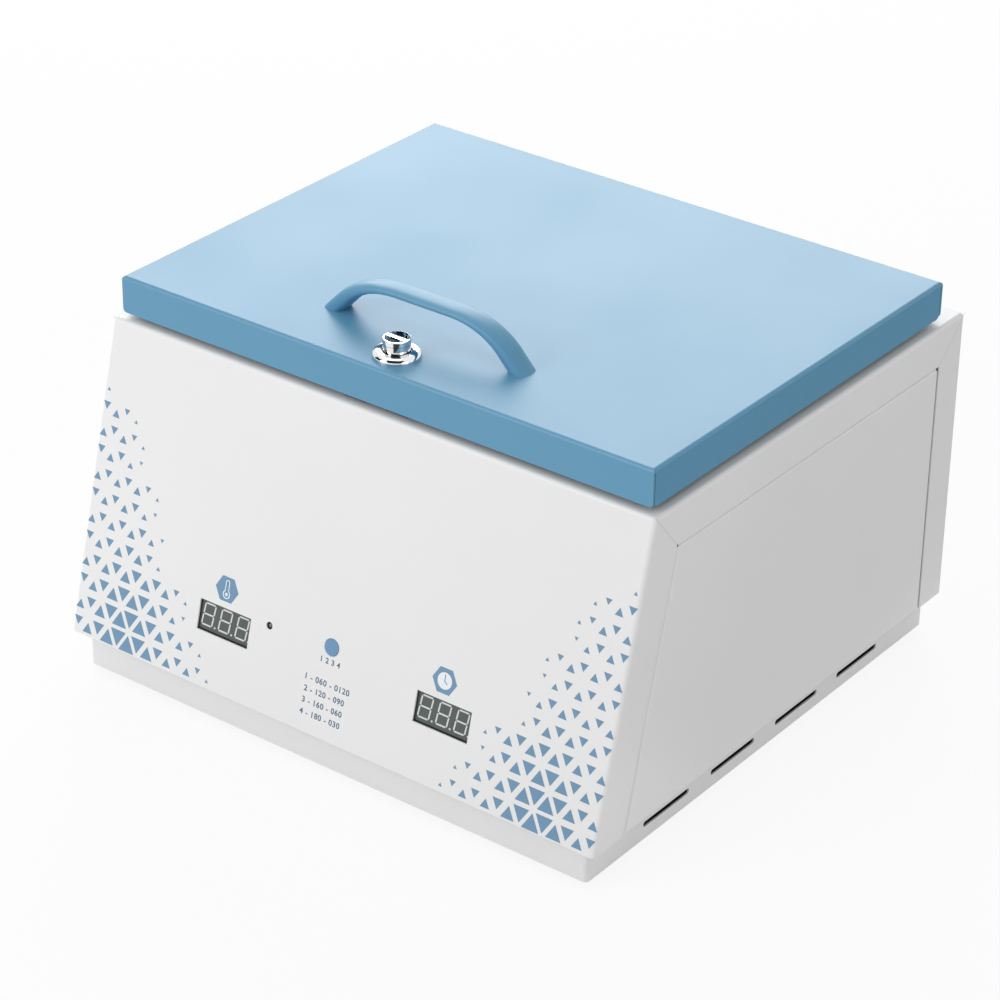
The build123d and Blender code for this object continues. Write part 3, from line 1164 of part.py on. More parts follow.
def make_latch_knob():
    """Round knob with a finger bar across two pockets in its flat top."""
    top = LID_TOP + KNOB_HEIGHT
    knob = rod(0, LATCH_Y, KNOB_BOTTOM, top, KNOB_R)
    knob = fillet(knob.edges().group_by(Axis.Z)[-1], KNOB_EDGE_R)
    pocket = rod(0, LATCH_Y, top - KNOB_POCKET, top + KNOB_EDGE_R, KNOB_R - KNOB_RIM)
    half = KNOB_FIN / 2
    pocket -= block(-KNOB_R, KNOB_R, LATCH_Y - half, LATCH_Y + half, KNOB_BOTTOM, top + KNOB_R)
    knob -= pocket
    return knob - rod(0, LATCH_Y, KNOB_BOTTOM - SHEET, KNOB_BOTTOM + SPINDLE_SOCKET, SPINDLE_R)


def make_latch_spindle():
    """Round spindle through the barrel, squared at its foot to drive the cam."""
    foot, shoulder = CAM_BOTTOM + SPINDLE_SQUARE_FIT, CAM_TOP + SPINDLE_SQUARE_FIT
    spindle = rod(0, LATCH_Y, shoulder, KNOB_BOTTOM + SPINDLE_SOCKET, SPINDLE_R)
    half = SPINDLE_SQUARE / 2
    spindle += block(-half, half, LATCH_Y - half, LATCH_Y + half, foot, shoulder)
    return spindle - rod(0, LATCH_Y, CAM_BOTTOM - SHEET, CAM_TOP + SCREW_GRIP + SHEET, HOLE_R)


def make_latch_cam():
    """Flat cam on the spindle that turns under the strike plate."""
    length = CAM_REACH + CAM_WIDTH / 2
    place = Pos(CAM_REACH - length / 2, LATCH_Y, CAM_BOTTOM)
    cam = extrude(place * RectangleRounded(length, CAM_WIDTH, CAM_CORNER_R), CAM_THICKNESS)
    half = SPINDLE_SQUARE / 2 + SPINDLE_SQUARE_FIT
    return cam - block(-half, half, LATCH_Y - half, LATCH_Y + half, CAM_BOTTOM - SHEET, CAM_TOP + SHEET)


def make_cam_screw():
    """Screw with a wide head that holds the cam on the spindle."""
    length = CAM_THICKNESS + SCREW_GRIP
    head = rod(0, LATCH_Y, CAM_BOTTOM - SCREW_HEAD_HEIGHT, CAM_BOTTOM, SPINDLE_R)
    return head + rod(0, LATCH_Y, CAM_BOTTOM, CAM_BOTTOM + length, SCREW_R)


def make_strike_plate():
    """Steel plate under the casing top, behind the catch opening, that the cam turns under."""
    y0 = CATCH_Y + CATCH_WIDTH / 2
    top = CASE_TOP - SHEET
    half = STRIKE_LENGTH / 2
    return block(-half, half, y0, y0 + STRIKE_WIDTH, top - STRIKE_THICKNESS, top)


def make_latch_fork():
    """Bright folded guide behind the lid's front skirt, with two prongs beside the latch."""
    y0 = LID_FRONT_Y + SHEET
    y1 = y0 + FORK_THICKNESS
    half, notch = FORK_WIDTH / 2, FORK_NOTCH / 2
    low = LID_BOTTOM - FORK_DROP
    fork = block(-half, half, y0, y1, low, LID_CEILING)
    fork += block(-half, half, y1, y1 + FORK_FLANGE, LID_CEILING - FORK_THICKNESS, LID_CEILING)
    fork -= block(-notch, notch, y0, y1, low, low + FORK_NOTCH_HEIGHT)
    hidden = LID_BEND_R - SHEET
    return fork - block(-half, half, y0, y0 + hidden, LID_CEILING - hidden, LID_CEILING)


def write_casing():
    """Cover, side panels, base pan, feet and their screws."""
    save("outer_cover", make_outer_cover())
    save("side_panel_left", make_side_panel(-1))
    save("side_panel_right", make_side_panel(1))
    save("base_pan", make_base_pan())
    save("rubber_feet", *[make_foot(x, y) for x, y in foot_places()])
    from_below = Rot(180, 0, 0) * pan_screw(FOOT_SINK + SHEET + SCREW_GRIP)
    save("foot_screws", *[Pos(x, y, FOOT_HEIGHT - FOOT_SINK) * from_below for x, y in foot_places()])
    from_below = Rot(180, 0, 0) * pan_screw(2 * SHEET + SCREW_GRIP)
    places = cover_screw_places() + panel_screw_places(1) + panel_screw_places(-1)
    save("cover_screws", *[Pos(x, y, CASE_BOTTOM - SHEET) * from_below for x, y in places])


def write_chamber():
    """Tank, insulation, heating element, sensors, tray and what carries them."""
    save("chamber", make_chamber())
    save("chamber_insulation", make_chamber_insulation())
    save("bracket_left", make_bracket(-1))
    save("bracket_right", make_bracket(1))
    save("heating_element", make_heating_element())
    save("heater_sleeves", *[make_heater_sleeve(x, y) for x, y in heater_leg_places()])
    save("heater_clamps", *[make_heater_clamp(x) for x in clamp_columns()])
    save("temperature_probe", make_temperature_probe())
    save("probe_nut", make_probe_nut())
    save("thermal_cutout", make_thermal_cutout())
    save("instrument_tray", make_instrument_tray())
    save("tray_rail_left", make_tray_rail(-1))
    save("tray_rail_right", make_tray_rail(1))


def write_controls():
    """Displays, lamp, button, boards, mains inlet and power switch."""
    save("display_temperature", make_display(-1))
    save("display_time", make_display(1))
    save("indicator_led", make_indicator_led())
    save("program_button", make_button())
    save("key_switch", make_key_switch())
    save("control_board", make_control_board())
    save("power_board", make_power_board())
    save("board_standoffs", *make_standoffs())
    save("board_screws", *make_board_screws())
    save("transformer", make_transformer())
    save("heatsink", make_heatsink())
    save("terminal_block", make_terminal_block())
    save("mains_inlet", make_mains_inlet())
    screw = flush_screw(INLET_FLANGE_THICKNESS + SHEET + SCREW_GRIP)
    save("inlet_screws", *[inlet_screw_place(side) * screw for side in (-1, 1)])
    save("switch_housing", make_switch_housing())
    save("power_rocker", make_rocker())


def write_hinges():
    """Leaves, pins and screws of the two hinges."""
    for name, side in (("left", -1), ("right", 1)):
        half = HINGE_LENGTH / 2
        x = side * HINGE_X
        save(f"hinge_case_leaf_{name}", make_case_leaf(side))
        save(f"hinge_lid_leaf_{name}", make_lid_leaf(side))
        save(f"hinge_pin_{name}", rod_x(HINGE_Y, HINGE_Z, x - half, x + half, HINGE_PIN_R))
    screw = flush_screw(HINGE_SHEET + SHEET + SCREW_GRIP)
    places = hinge_screw_places(-1) + hinge_screw_places(1)
    save("hinge_case_screws", *[Pos(x, y, CASE_TOP + HINGE_SHEET) * screw for x, y in places])
    save("hinge_lid_screws", *make_lid_leaf_screws())


def write_lid():
    """Lid pan, lining, insulation, gasket, handle and latch."""
    save("lid_cover", make_lid_cover())
    save("lid_liner", make_lid_liner())
    save("lid_insulation", make_lid_insulation())
    save("lid_gasket", make_lid_gasket())
    save("liner_studs", *make_studs())
    from_below = Rot(180, 0, 0) * pan_screw(LINER_SHEET + SCREW_GRIP)
    save("liner_screws", *[Pos(x, y, LINER_BOTTOM) * from_below for x, y in stud_places()])
    save("handle", make_handle())
    from_below = Rot(180, 0, 0) * pan_screw(SHEET + HANDLE_SCREW_GRIP, HANDLE_SCREW_R)
    save("handle_screws", *[Pos(x, HANDLE_Y, LID_CEILING) * from_below for x in handle_screw_columns()])
    save("latch_body", make_latch_body())
    save("latch_nut", make_latch_nut())
    save("latch_fork", make_latch_fork())
    save("latch_knob", make_latch_knob())
    save("latch_spindle", make_latch_spindle())
    save("latch_cam", make_latch_cam())
    save("cam_screw", make_cam_screw())
    save("strike_plate", make_strike_plate())


os.makedirs("parts", exist_ok=True)
write_casing()
write_chamber()
write_controls()
write_hinges()
write_lid()
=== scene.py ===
import json
import bmesh
import bpy
import numpy as np
from mathutils import Matrix, Vector


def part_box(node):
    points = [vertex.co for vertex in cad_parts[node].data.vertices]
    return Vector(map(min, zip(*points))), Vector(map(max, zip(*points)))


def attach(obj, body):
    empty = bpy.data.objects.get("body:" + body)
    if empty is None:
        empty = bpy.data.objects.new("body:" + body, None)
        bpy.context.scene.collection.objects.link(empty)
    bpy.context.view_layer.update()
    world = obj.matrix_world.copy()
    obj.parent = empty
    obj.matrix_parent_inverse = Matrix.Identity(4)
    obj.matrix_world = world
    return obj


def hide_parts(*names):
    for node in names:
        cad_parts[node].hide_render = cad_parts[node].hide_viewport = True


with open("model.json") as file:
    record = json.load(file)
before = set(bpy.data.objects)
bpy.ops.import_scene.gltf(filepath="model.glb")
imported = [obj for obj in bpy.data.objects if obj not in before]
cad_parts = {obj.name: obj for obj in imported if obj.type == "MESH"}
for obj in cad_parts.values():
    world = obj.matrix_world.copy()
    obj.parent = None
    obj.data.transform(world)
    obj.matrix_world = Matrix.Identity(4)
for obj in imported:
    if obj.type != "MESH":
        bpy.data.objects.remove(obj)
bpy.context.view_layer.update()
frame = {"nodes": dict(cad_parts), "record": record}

# Casing
# The cover, the two side panels and the base pan are folded from mild steel sheet, powder coated pale grey.
# The baked coat has a faint pebbled skin, a little rougher in some places than in others.
# Inside its walls the sheet is painted near black, a painted shade that keeps the slots of the base dark.
MM = 0.001
SHEET = 1.2 * MM
COATED_SHARE = 0.8
CASING_GREY = (0.82, 0.82, 0.82)
CASING_PEBBLES = 0.012 * MM
DEEP_TONE = 0.97
# Painted shade for the inner faces of the sheet, near black.
INSIDE_PAINTED_SHADE = (0.030, 0.031, 0.033)


class Wire:
    """A value in a material's node tree, on which arithmetic adds Math nodes."""

    def __init__(self, tree, socket=None):
        self.tree = tree
        self.socket = socket

    def node(self, kind, settings=None, sockets=None, output=0):
        """Adds a node of a type with its settings first, then the values or wires of its sockets."""
        made = self.tree.nodes.new("ShaderNode" + kind)
        for name, value in (settings or {}).items():
            setattr(made, name, value)
        for name, value in (sockets or {}).items():
            if isinstance(value, Wire):
                self.tree.links.new(value.socket, made.inputs[name])
            else:
                made.inputs[name].default_value = value
        return Wire(self.tree, made.outputs[output])

    def math(self, operation, first, second=0.0):
        """Math node of an operation on two wires or numbers."""
        return self.node("Math", {"operation": operation}, {0: first, 1: second})

    def __add__(self, other):
        return self.math("ADD", self, other)

    def __radd__(self, other):
        return self.math("ADD", other, self)

    def __mul__(self, other):
        return self.math("MULTIPLY", self, other)

    def __rmul__(self, other):
        return self.math("MULTIPLY", other, self)

    def place(self):
        """Object coordinates, in metres."""
        return self.node("TexCoord", output="Object")

    def stretch(self, scale):
        """This vector with each axis scaled by its own factor."""
        return self.node("VectorMath", {"operation": "MULTIPLY"}, {0: self, 1: scale})

    def noise(self, scale, detail=2.0):
        """Noise from 0 to 1 over this vector, with a feature size of about one over the scale."""
        return self.node("TexNoise", sockets={"Vector": self, "Scale": scale, "Detail": detail})

    def between(self, low, high):
        """Colour that runs from low to high as this value goes from 0 to 1."""
        return self.node("Mix", {"data_type": "RGBA"}, {0: self, 6: (*low, 1), 7: (*high, 1)}, output=2)

    def blend(self, colour, share):
        """This colour with a share of another laid over it."""
        return self.node("Mix", {"data_type": "RGBA"}, {0: share, 6: self, 7: (*colour, 1)}, output=2)

    def bump(self, height):
        """Surface normal raised by this value, where 1 stands for the given height in metres."""
        return self.node("Bump", sockets={"Strength": 1.0, "Distance": height, "Height": self})


def finish(name, look):
    """Material whose shader sockets get the values or wires that look returns."""
    made = bpy.data.materials.new(name)
    made.use_nodes = True
    shader = made.node_tree.nodes["Principled BSDF"]
    for socket, value in look(Wire(made.node_tree)).items():
        if isinstance(value, Wire):
            made.node_tree.links.new(value.socket, shader.inputs[socket])
        else:
            shader.inputs[socket].default_value = value
    return made


def dress(material, *nodes):
    """Gives CAD nodes a finish."""
    for node in nodes:
        slots = frame["nodes"][node].data.materials
        slots.clear()
        slots.append(material)


def powder_coat(colour, pebble_height):
    """Baked powder coat: a broad tone shift of a few percent and pebbles about a millimetre wide."""
    def look(wire):
        place = wire.place()
        cloud = place.noise(9.0, 3.0)
        pebbles = place.noise(1100.0, 1.0)
        low = tuple(DEEP_TONE * part for part in colour)
        return {
            "Base Color": cloud.between(low, colour),
            "Roughness": 0.36 + 0.12 * cloud,
            "Normal": pebbles.bump(pebble_height),
        }
    return look


def coat_over_painted_inner_shade(colour, pebble_height, walls):
    """Powder coat on the outer skin of a sheet metal part, and a near black painted shade inside its walls.

    Each wall is (direction, distance). A point counts as inside where, along every direction, it falls short
    of the distance by more than the coated share of a sheet.
    """
    def look(wire):
        sockets = powder_coat(colour, pebble_height)(wire)
        inside = 1.0
        for direction, distance in walls:
            product = {"operation": "DOT_PRODUCT"}
            along = wire.node("VectorMath", product, {0: wire.place(), 1: direction}, output="Value")
            inside = wire.math("LESS_THAN", along, distance - COATED_SHARE * SHEET) * inside
        # Painted shade: the inner faces turn near black and rougher, so the slots of the base look dark.
        sockets["Base Color"] = sockets["Base Color"].blend(INSIDE_PAINTED_SHADE, inside)
        sockets["Roughness"] = sockets["Roughness"] + 0.2 * inside
        return sockets
    return look


def joint(name):
    """The record's joint of a name."""
    return next(entry for entry in frame["record"]["behaviour"]["joints"] if entry["name"] == name)


case_low, case_high = (np.array(corner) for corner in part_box("outer_cover"))
front_foot = np.array([0.0, case_low[1], case_low[2]])
front_out = -np.array(joint("button_press")["axis"])
case_walls = [
    ((1, 0, 0), case_high[0]), ((-1, 0, 0), -case_low[0]), ((0, 1, 0), case_high[1]),
    ((0, 0, 1), case_high[2]), (tuple(front_out), front_foot @ front_out),
]
casing_coat = finish("casing_powder_coat", coat_over_painted_inner_shade(CASING_GREY, CASING_PEBBLES, case_walls))
dress(casing_coat, "outer_cover", "side_panel_left", "side_panel_right")
pan_low, pan_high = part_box("base_pan")
pan_walls = [
    ((1, 0, 0), pan_high[0]), ((-1, 0, 0), -pan_low[0]), ((0, 1, 0), pan_high[1]),
    ((0, -1, 0), -pan_low[1]), ((0, 0, 1), pan_high[2] + SHEET),
]
dress(finish("base_powder_coat", coat_over_painted_inner_shade(CASING_GREY, CASING_PEBBLES, pan_walls)), "base_pan")

# Triangle print
# Two fields of blue triangles are screen printed on the leaning front and fade towards its middle.
# The ink stands a few hundredths of a millimetre proud of the coat.
INK_BLUE = (0.155, 0.300, 0.460)
INK_THICKNESS = 0.04 * MM
LATTICE_COLUMN = 7.55 * MM
LATTICE_ROW = 13.0 * MM
LATTICE_EDGE = 181.3 * MM
LATTICE_FOOT = -0.4 * MM
LATTICE_REACH = np.array([13, 12, 10, 10, 7, 7, 6, 6, 4, 4, 3, 0])
FIELD_SIZE = 0.34
CORE_SIZE = 0.39
CORE_COLUMN = 4.6
CORE_SPREAD = 3.2
FADE_LAST = 0.5
FADE_STEP = 0.3
FADE_FULL = 1.05

front_up = np.array([0.0, front_out[2], -front_out[1]])


def on_front(across, up, out):
    """Points on the leaning front: across from its middle, up its slope from the foot, out of its face."""
    across, up, out = (np.asarray(value, float)[..., None] for value in (across, up, out))
    return front_foot + across * np.array([1.0, 0, 0]) + up * front_up + out * front_out


def piece(name, points, faces, material, body, smooth=False):
    """Mesh object of points and faces in the row frame, riding on a body."""
    mesh = bpy.data.meshes.new(name)
    mesh.from_pydata(np.reshape(points, (-1, 3)).tolist(), [], [list(face) for face in faces])
    mesh.materials.append(material)
    mesh.polygons.foreach_set("use_smooth", np.full(len(mesh.polygons), smooth))
    mesh.update()
    made = bpy.data.objects.new(name, mesh)
    bpy.context.collection.objects.link(made)
    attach(made, body)
    return made


def slabs(outlines, low, high, lay=on_front):
    """Closed thin prisms of equal corner count: outlines of (across, up), laid on a face at two heights."""
    outlines = np.asarray(outlines, float)
    count, corners = outlines.shape[:2]
    lower = lay(outlines[..., 0], outlines[..., 1], low)
    upper = lay(outlines[..., 0], outlines[..., 1], high)
    points = np.stack([lower, upper], axis=1).reshape(-1, 3)
    start = np.arange(count)[:, None] * 2 * corners
    ring = np.arange(corners)
    following = np.roll(ring, -1)
    tops = (start + corners + ring).tolist()
    bottoms = (start + ring[::-1]).tolist()
    walls = [start + ring, start + following, start + corners + following, start + corners + ring]
    return points, tops + bottoms + np.stack(walls, axis=-1).reshape(-1, 4).tolist()


def ink(wire):
    """Silk screened ink: almost even, with a faint grain."""
    grain = wire.place().noise(2500.0, 2.0)
    deep = tuple(0.93 * part for part in INK_BLUE)
    return {"Base Color": grain.between(deep, INK_BLUE), "Roughness": 0.42}


def triangle_field():
    """Corners of both triangle fields.

    Cells of an equilateral lattice, counted in columns from the side and in rows from the foot. Each holds a
    triangle about its centre that fills a share of it. The share is even over the field, swells round a core
    near the foot as a bell curve, and falls off in the last cells before the reach, which shrinks upwards.
    """
    columns, rows = np.arange(LATTICE_REACH.max() + 1.0), np.arange(float(len(LATTICE_REACH)))
    column, row = np.meshgrid(columns, rows, indexing="ij")
    reach = np.broadcast_to(LATTICE_REACH, column.shape)
    inside = column <= reach
    core = np.exp(-((column - CORE_COLUMN) / CORE_SPREAD) ** 2 - (row / CORE_SPREAD) ** 2)
    fade = np.clip(FADE_LAST + FADE_STEP * (reach - column), FADE_LAST, FADE_FULL)
    share = (FIELD_SIZE + CORE_SIZE * core) * fade
    column, row, share = column[inside], row[inside], share[inside]
    points_up = np.where((column + row) % 2 > 0, 1.0, -1.0)
    middle_up = LATTICE_FOOT + (row + 0.5) * LATTICE_ROW - points_up * LATTICE_ROW / 6
    half, third = share * LATTICE_COLUMN, share * LATTICE_ROW / 3
    fields = []
    for side in (-1, 1):
        middle = side * (LATTICE_EDGE - column * LATTICE_COLUMN)
        corners = [(-half, -third), (half, -third), (0 * half, 2 * third)]
        placed = [np.stack([middle + points_up * a, middle_up + points_up * b], axis=-1) for a, b in corners]
        fields.append(np.stack(placed, axis=1))
    return np.concatenate(fields)


blue_ink = finish("blue_ink", ink)
print_points, print_faces = slabs(triangle_field(), 0, INK_THICKNESS)
piece("triangle_print", print_points, print_faces, blue_ink, "casing")

# Mitred borders
# The side borders of the cover are cut at an angle where they meet, welded from behind and coated over.
# A hairline of shade stays along each joint.
SEAM_WIDTH = 0.16 * MM
SEAM_PROUD = 0.01 * MM
SEAM_DEPTH = 0.05 * MM
BORDER = 24.5 * MM
FRONT_WINDOW_CORNER = (-110.5 * MM, 184.5 * MM)


def stroke(start, end, width):
    """Bar of a width between two points."""
    start, end = np.array(start), np.array(end)
    along = (end - start) / np.linalg.norm(end - start)
    side = np.array([-along[1], along[0]]) * width / 2
    return np.array([start - side, end - side, end + side, start + side])


def on_sides(across, up, out):
    """Points on both sides of the casing, the first half of the outlines on the right, the rest on the left.

    Across runs to the rear on the right side and to the front on the left, and out is away from the casing.
    """
    across, up = np.asarray(across, float), np.asarray(up, float)
    hand = np.repeat((1.0, -1.0), len(across) // 2)[:, None]
    return np.stack([hand * (case_high[0] + out) + 0 * up, hand * across, up], axis=-1)


front_corner = (case_low[1] + (case_high[2] - case_low[2]) * front_up[1] / front_up[2], case_high[2])
rear_corner = (case_high[1], case_high[2])
rear_window_corner = (case_high[1] - BORDER, case_high[2] - BORDER)
right_mitres = [(front_corner, FRONT_WINDOW_CORNER), (rear_corner, rear_window_corner)]
left_mitres = [((-y0, z0), (-y1, z1)) for (y0, z0), (y1, z1) in right_mitres]
seams = [stroke(outer, inner, SEAM_WIDTH) for outer, inner in right_mitres + left_mitres]
seam_points, seam_faces = slabs(seams, -SEAM_DEPTH, SEAM_PROUD, on_sides)
seam_shade = finish("seam_shade", lambda wire: {
    "Base Color": wire.place().noise(300.0).between((0.30, 0.30, 0.30), (0.50, 0.50, 0.50)),
    "Roughness": 0.6,
})
piece("mitre_seams", seam_points, seam_faces, seam_shade, "casing")

# Pictograms
# A blue hexagon is printed over each display, with a thermometer over the temperature and a clock over the
# time. Both are drawn in white ink on top of the blue, and the clock's hands are blue again.
HEXAGON_RADIUS = 8.3 * MM
THERMOMETER_PLACE = (-78.0 * MM, 61.2 * MM)
BULB_DROP = 3.0 * MM
BULB_RADIUS = 2.6 * MM
STEM_RADIUS = 1.5 * MM
STEM_RISE = 7.0 * MM
OUTLINE_WIDTH = (0.6 * MM, 0.55 * MM)
MERCURY_RADIUS = 1.0 * MM
PINHOLE_RADIUS = 0.1 * MM
DISC_CORNERS = 31
CLOCK_PLACE = (75.1 * MM, 61.2 * MM)
CLOCK_RADIUS = 4.8 * MM
HAND_WIDTH = 0.6 * MM
HAND_TAIL = (0, 0.3 * MM)
LONG_HAND = (0, 3.6 * MM)
SHORT_HAND = (2.0 * MM, -1.7 * MM)
WHITE_LAYER = (0.5 * INK_THICKNESS, 2.0 * INK_THICKNESS)
HAND_LAYER = (1.5 * INK_THICKNESS, 3.0 * INK_THICKNESS)
INK_WHITE = (0.86, 0.88, 0.90)


def circle(place, radius, start=0.0, turn=2 * np.pi, steps=32):
    """Points of an arc about a place, from a starting angle over a turn, with both ends unless it closes."""
    angles = start + turn * np.arange(steps) / (steps - (turn < 2 * np.pi))
    return np.stack([place[0] + radius * np.cos(angles), place[1] + radius * np.sin(angles)], axis=-1)


def flat_ring(inner, outer, low, high):
    """Closed flat ring between two outlines of equally many points, laid on the front at two heights.

    The four lines outer low, outer high, inner high and inner low are joined by quads, round and round.
    """
    lines = [(outer, low), (outer, high), (inner, high), (inner, low)]
    points = np.stack([on_front(line[:, 0], line[:, 1], level) for line, level in lines])
    here = np.arange(points[..., 0].size).reshape(points.shape[:2])
    ahead = np.roll(here, -1, axis=1)
    quads = np.stack([here, ahead, np.roll(ahead, -1, axis=0), np.roll(here, -1, axis=0)], axis=-1)
    return points.reshape(-1, 3), quads.reshape(-1, 4).tolist()


def together(parts):
    """Points and faces of several parts as one, each face counted on from the points before its part."""
    starts = np.cumsum([0] + [len(points) for points, _ in parts])
    faces = [[corner + start for corner in face] for (_, part), start in zip(parts, starts) for face in part]
    return np.concatenate([points for points, _ in parts]), faces


def disc_lines(place, radius):
    """Inner and outer line of a disc about a place, whose middle is left open as a pinhole."""
    return [circle(place, reach, steps=DISC_CORNERS) for reach in (PINHOLE_RADIUS, radius)]


def thermometer_outline(stem_radius, bulb_radius):
    """Outline of a round bulb below a round ended stem, as (across, up) from the bulb's middle."""
    start = np.arcsin(stem_radius / bulb_radius)
    around = circle((0, 0), bulb_radius, np.pi / 2 + start, 2 * np.pi - 2 * start, 40)
    return np.concatenate([around, circle((0, STEM_RISE), stem_radius, 0, np.pi, 20)])


hexagons = [circle(place, HEXAGON_RADIUS, steps=6) for place in (THERMOMETER_PLACE, CLOCK_PLACE)]
hexagon_points, hexagon_faces = slabs(hexagons, 0, INK_THICKNESS)
piece("hexagon_print", hexagon_points, hexagon_faces, blue_ink, "casing")

bulb = np.array(THERMOMETER_PLACE) - (0, BULB_DROP)
inner_line = bulb + thermometer_outline(STEM_RADIUS - OUTLINE_WIDTH[1], BULB_RADIUS - OUTLINE_WIDTH[0])
outer_line = bulb + thermometer_outline(STEM_RADIUS, BULB_RADIUS)
white_rings = [
    (inner_line, outer_line), disc_lines(bulb, MERCURY_RADIUS), disc_lines(CLOCK_PLACE, CLOCK_RADIUS),
]
white_ink = finish("white_ink", lambda wire: {
    "Base Color": wire.place().noise(2500.0).between((0.82, 0.84, 0.86), INK_WHITE), "Roughness": 0.4,
})
white_points, white_faces = together([flat_ring(inner, outer, *WHITE_LAYER) for inner, outer in white_rings])
piece("pictogram_white", white_points, white_faces, white_ink, "casing")

clock = np.array(CLOCK_PLACE)
long_hand = stroke(clock - HAND_TAIL, clock + LONG_HAND, HAND_WIDTH)
short_hand = stroke(clock, clock + SHORT_HAND, HAND_WIDTH)
hand_points, hand_faces = slabs([long_hand, short_hand], *HAND_LAYER)
piece("clock_hands", hand_points, hand_faces, blue_ink, "casing")

# Printed figures
# Plain numbers are printed under the button in slate blue, about three millimetres high.
# Each row is its figures, its place across and up the front, and its height, in millimetres.
FIGURE_BLUE = (0.062, 0.130, 0.220)
FONT_SHARE = 1.35
FIGURE_BOLDER = 0.09 * MM
FIGURE_SPACING = 1.12
FIGURE_ROWS = [
    ("1 2 3 4", -1.0, 43.6, 3.3), ("1 - 060 - 0120", -0.8, 30.4, 3.6), ("2 - 120 - 090", -1.6, 23.6, 3.5),
    ("3 - 160 - 060", -1.9, 16.8, 3.5), ("4 - 180 - 030", -2.2, 9.9, 3.5),
]


def figures(words, across, up, height):
    """Points and faces of a line of figures of a height in millimetres, centred at a place of the front."""
    curve = bpy.data.curves.new("figures", "FONT")
    curve.body = words
    curve.size = height * MM * FONT_SHARE
    curve.align_x = "CENTER"
    curve.offset = FIGURE_BOLDER
    curve.space_character = FIGURE_SPACING
    curve.extrude = INK_THICKNESS / 2
    letters = bpy.data.objects.new("figures", curve)
    mesh = bpy.data.meshes.new_from_object(letters)
    flat = np.empty(len(mesh.vertices) * 3)
    mesh.vertices.foreach_get("co", flat)
    faces = [tuple(face.vertices) for face in mesh.polygons]
    bpy.data.objects.remove(letters)
    flat = flat.reshape(-1, 3)
    return on_front(flat[:, 0] + across * MM, flat[:, 1] + up * MM, flat[:, 2] + INK_THICKNESS / 2), faces


figure_ink = finish("figure_ink", lambda wire: {
    "Base Color": wire.place().noise(2500.0).between((0.056, 0.118, 0.200), FIGURE_BLUE), "Roughness": 0.45,
})
figure_points, figure_faces = together([figures(*row) for row in FIGURE_ROWS])
piece("printed_figures", figure_points, figure_faces, figure_ink, "casing")

# Digit displays
# Each display is a potted block with three slanted digits of seven bars and a point, unlit in a grey face.
# The bars are pale diffusing plastic, and a black strip laid at the lower edge of the block's window is
# painted shadow.
DIGIT_PLACES = (-12.5, -0.3, 11.9)
DIGIT_WIDTH = 8.3 * MM
DIGIT_HEIGHT = 13.7 * MM
DIGIT_SLANT = np.tan(np.radians(6.0))
DIGIT_LIFT = 0.6 * MM
BAR_WIDTH = 0.95 * MM
BAR_GAP = 0.22 * MM
BAR_PROUD = 0.05 * MM
POINT_RADIUS = 0.62 * MM
POINT_GAP = 1.2 * MM
DISPLAY_ACROSS = 77.0 * MM
DISPLAY_UP = 41.2 * MM
WINDOW_WIDTH = 37.0 * MM
WINDOW_HEIGHT = 18.2 * MM
WINDOW_GAP = 0.6 * MM
SHADOW_STRIP_HEIGHT = 0.7 * MM
SHADOW_STRIP_PROUD = 0.3 * MM


def bar(start, end):
    """Six cornered bar between two joints of a digit, pointed at both ends and clear of its neighbours."""
    start, end = np.array(start), np.array(end)
    length = np.linalg.norm(end - start)
    along = (end - start) / length
    side = np.array([-along[1], along[0]]) * BAR_WIDTH / 2
    tip, neck = BAR_GAP, BAR_GAP + BAR_WIDTH / 2
    ends = [start + along * tip, start + along * neck - side, end - along * neck - side, end - along * tip]
    return np.array(ends + [end - along * neck + side, start + along * neck + side])


def digit_bars(across, up):
    """The seven bars of one digit, leaned over by its slant."""
    half, rise = (DIGIT_WIDTH - BAR_WIDTH) / 2, (DIGIT_HEIGHT - BAR_WIDTH) / 2
    corners = {(a, b): (a * half, b * rise) for a in (-1, 1) for b in (-1, 0, 1)}
    pairs = [((-1, level), (1, level)) for level in (-1, 0, 1)]
    pairs += [((side, level), (side, level + 1)) for side in (-1, 1) for level in (-1, 0)]
    bars = np.array([bar(corners[a], corners[b]) for a, b in pairs])
    bars[..., 0] += bars[..., 1] * DIGIT_SLANT
    return bars + (across, up)


face_out = -(SHEET + WINDOW_GAP)
digit_up = DISPLAY_UP + DIGIT_LIFT
point_up = digit_up - DIGIT_HEIGHT / 2 + POINT_RADIUS
digit_middles = [side * DISPLAY_ACROSS + place * MM for side in (-1, 1) for place in DIGIT_PLACES]
point_places = [(middle + DIGIT_WIDTH / 2 + POINT_GAP, point_up) for middle in digit_middles]
bar_outlines = np.concatenate([digit_bars(middle, digit_up) for middle in digit_middles])
point_outlines = [circle(place, POINT_RADIUS, steps=16) for place in point_places]
display_face = finish("display_face", lambda wire: {
    "Base Color": wire.place().noise(600.0, 2.0).between((0.070, 0.086, 0.083), (0.085, 0.102, 0.098)),
    "Roughness": 0.30,
})
unlit_bar = finish("unlit_bar", lambda wire: {
    "Base Color": wire.place().noise(500.0).between((0.62, 0.64, 0.63), (0.72, 0.74, 0.73)),
    "Roughness": 0.35,
})
bar_points, bar_faces = slabs(bar_outlines, face_out, face_out + BAR_PROUD)
piece("digit_bars", bar_points, bar_faces, unlit_bar, "casing")
point_points, point_faces = slabs(point_outlines, face_out, face_out + BAR_PROUD)
piece("digit_points", point_points, point_faces, unlit_bar, "casing")
dress(display_face, "display_temperature", "display_time")
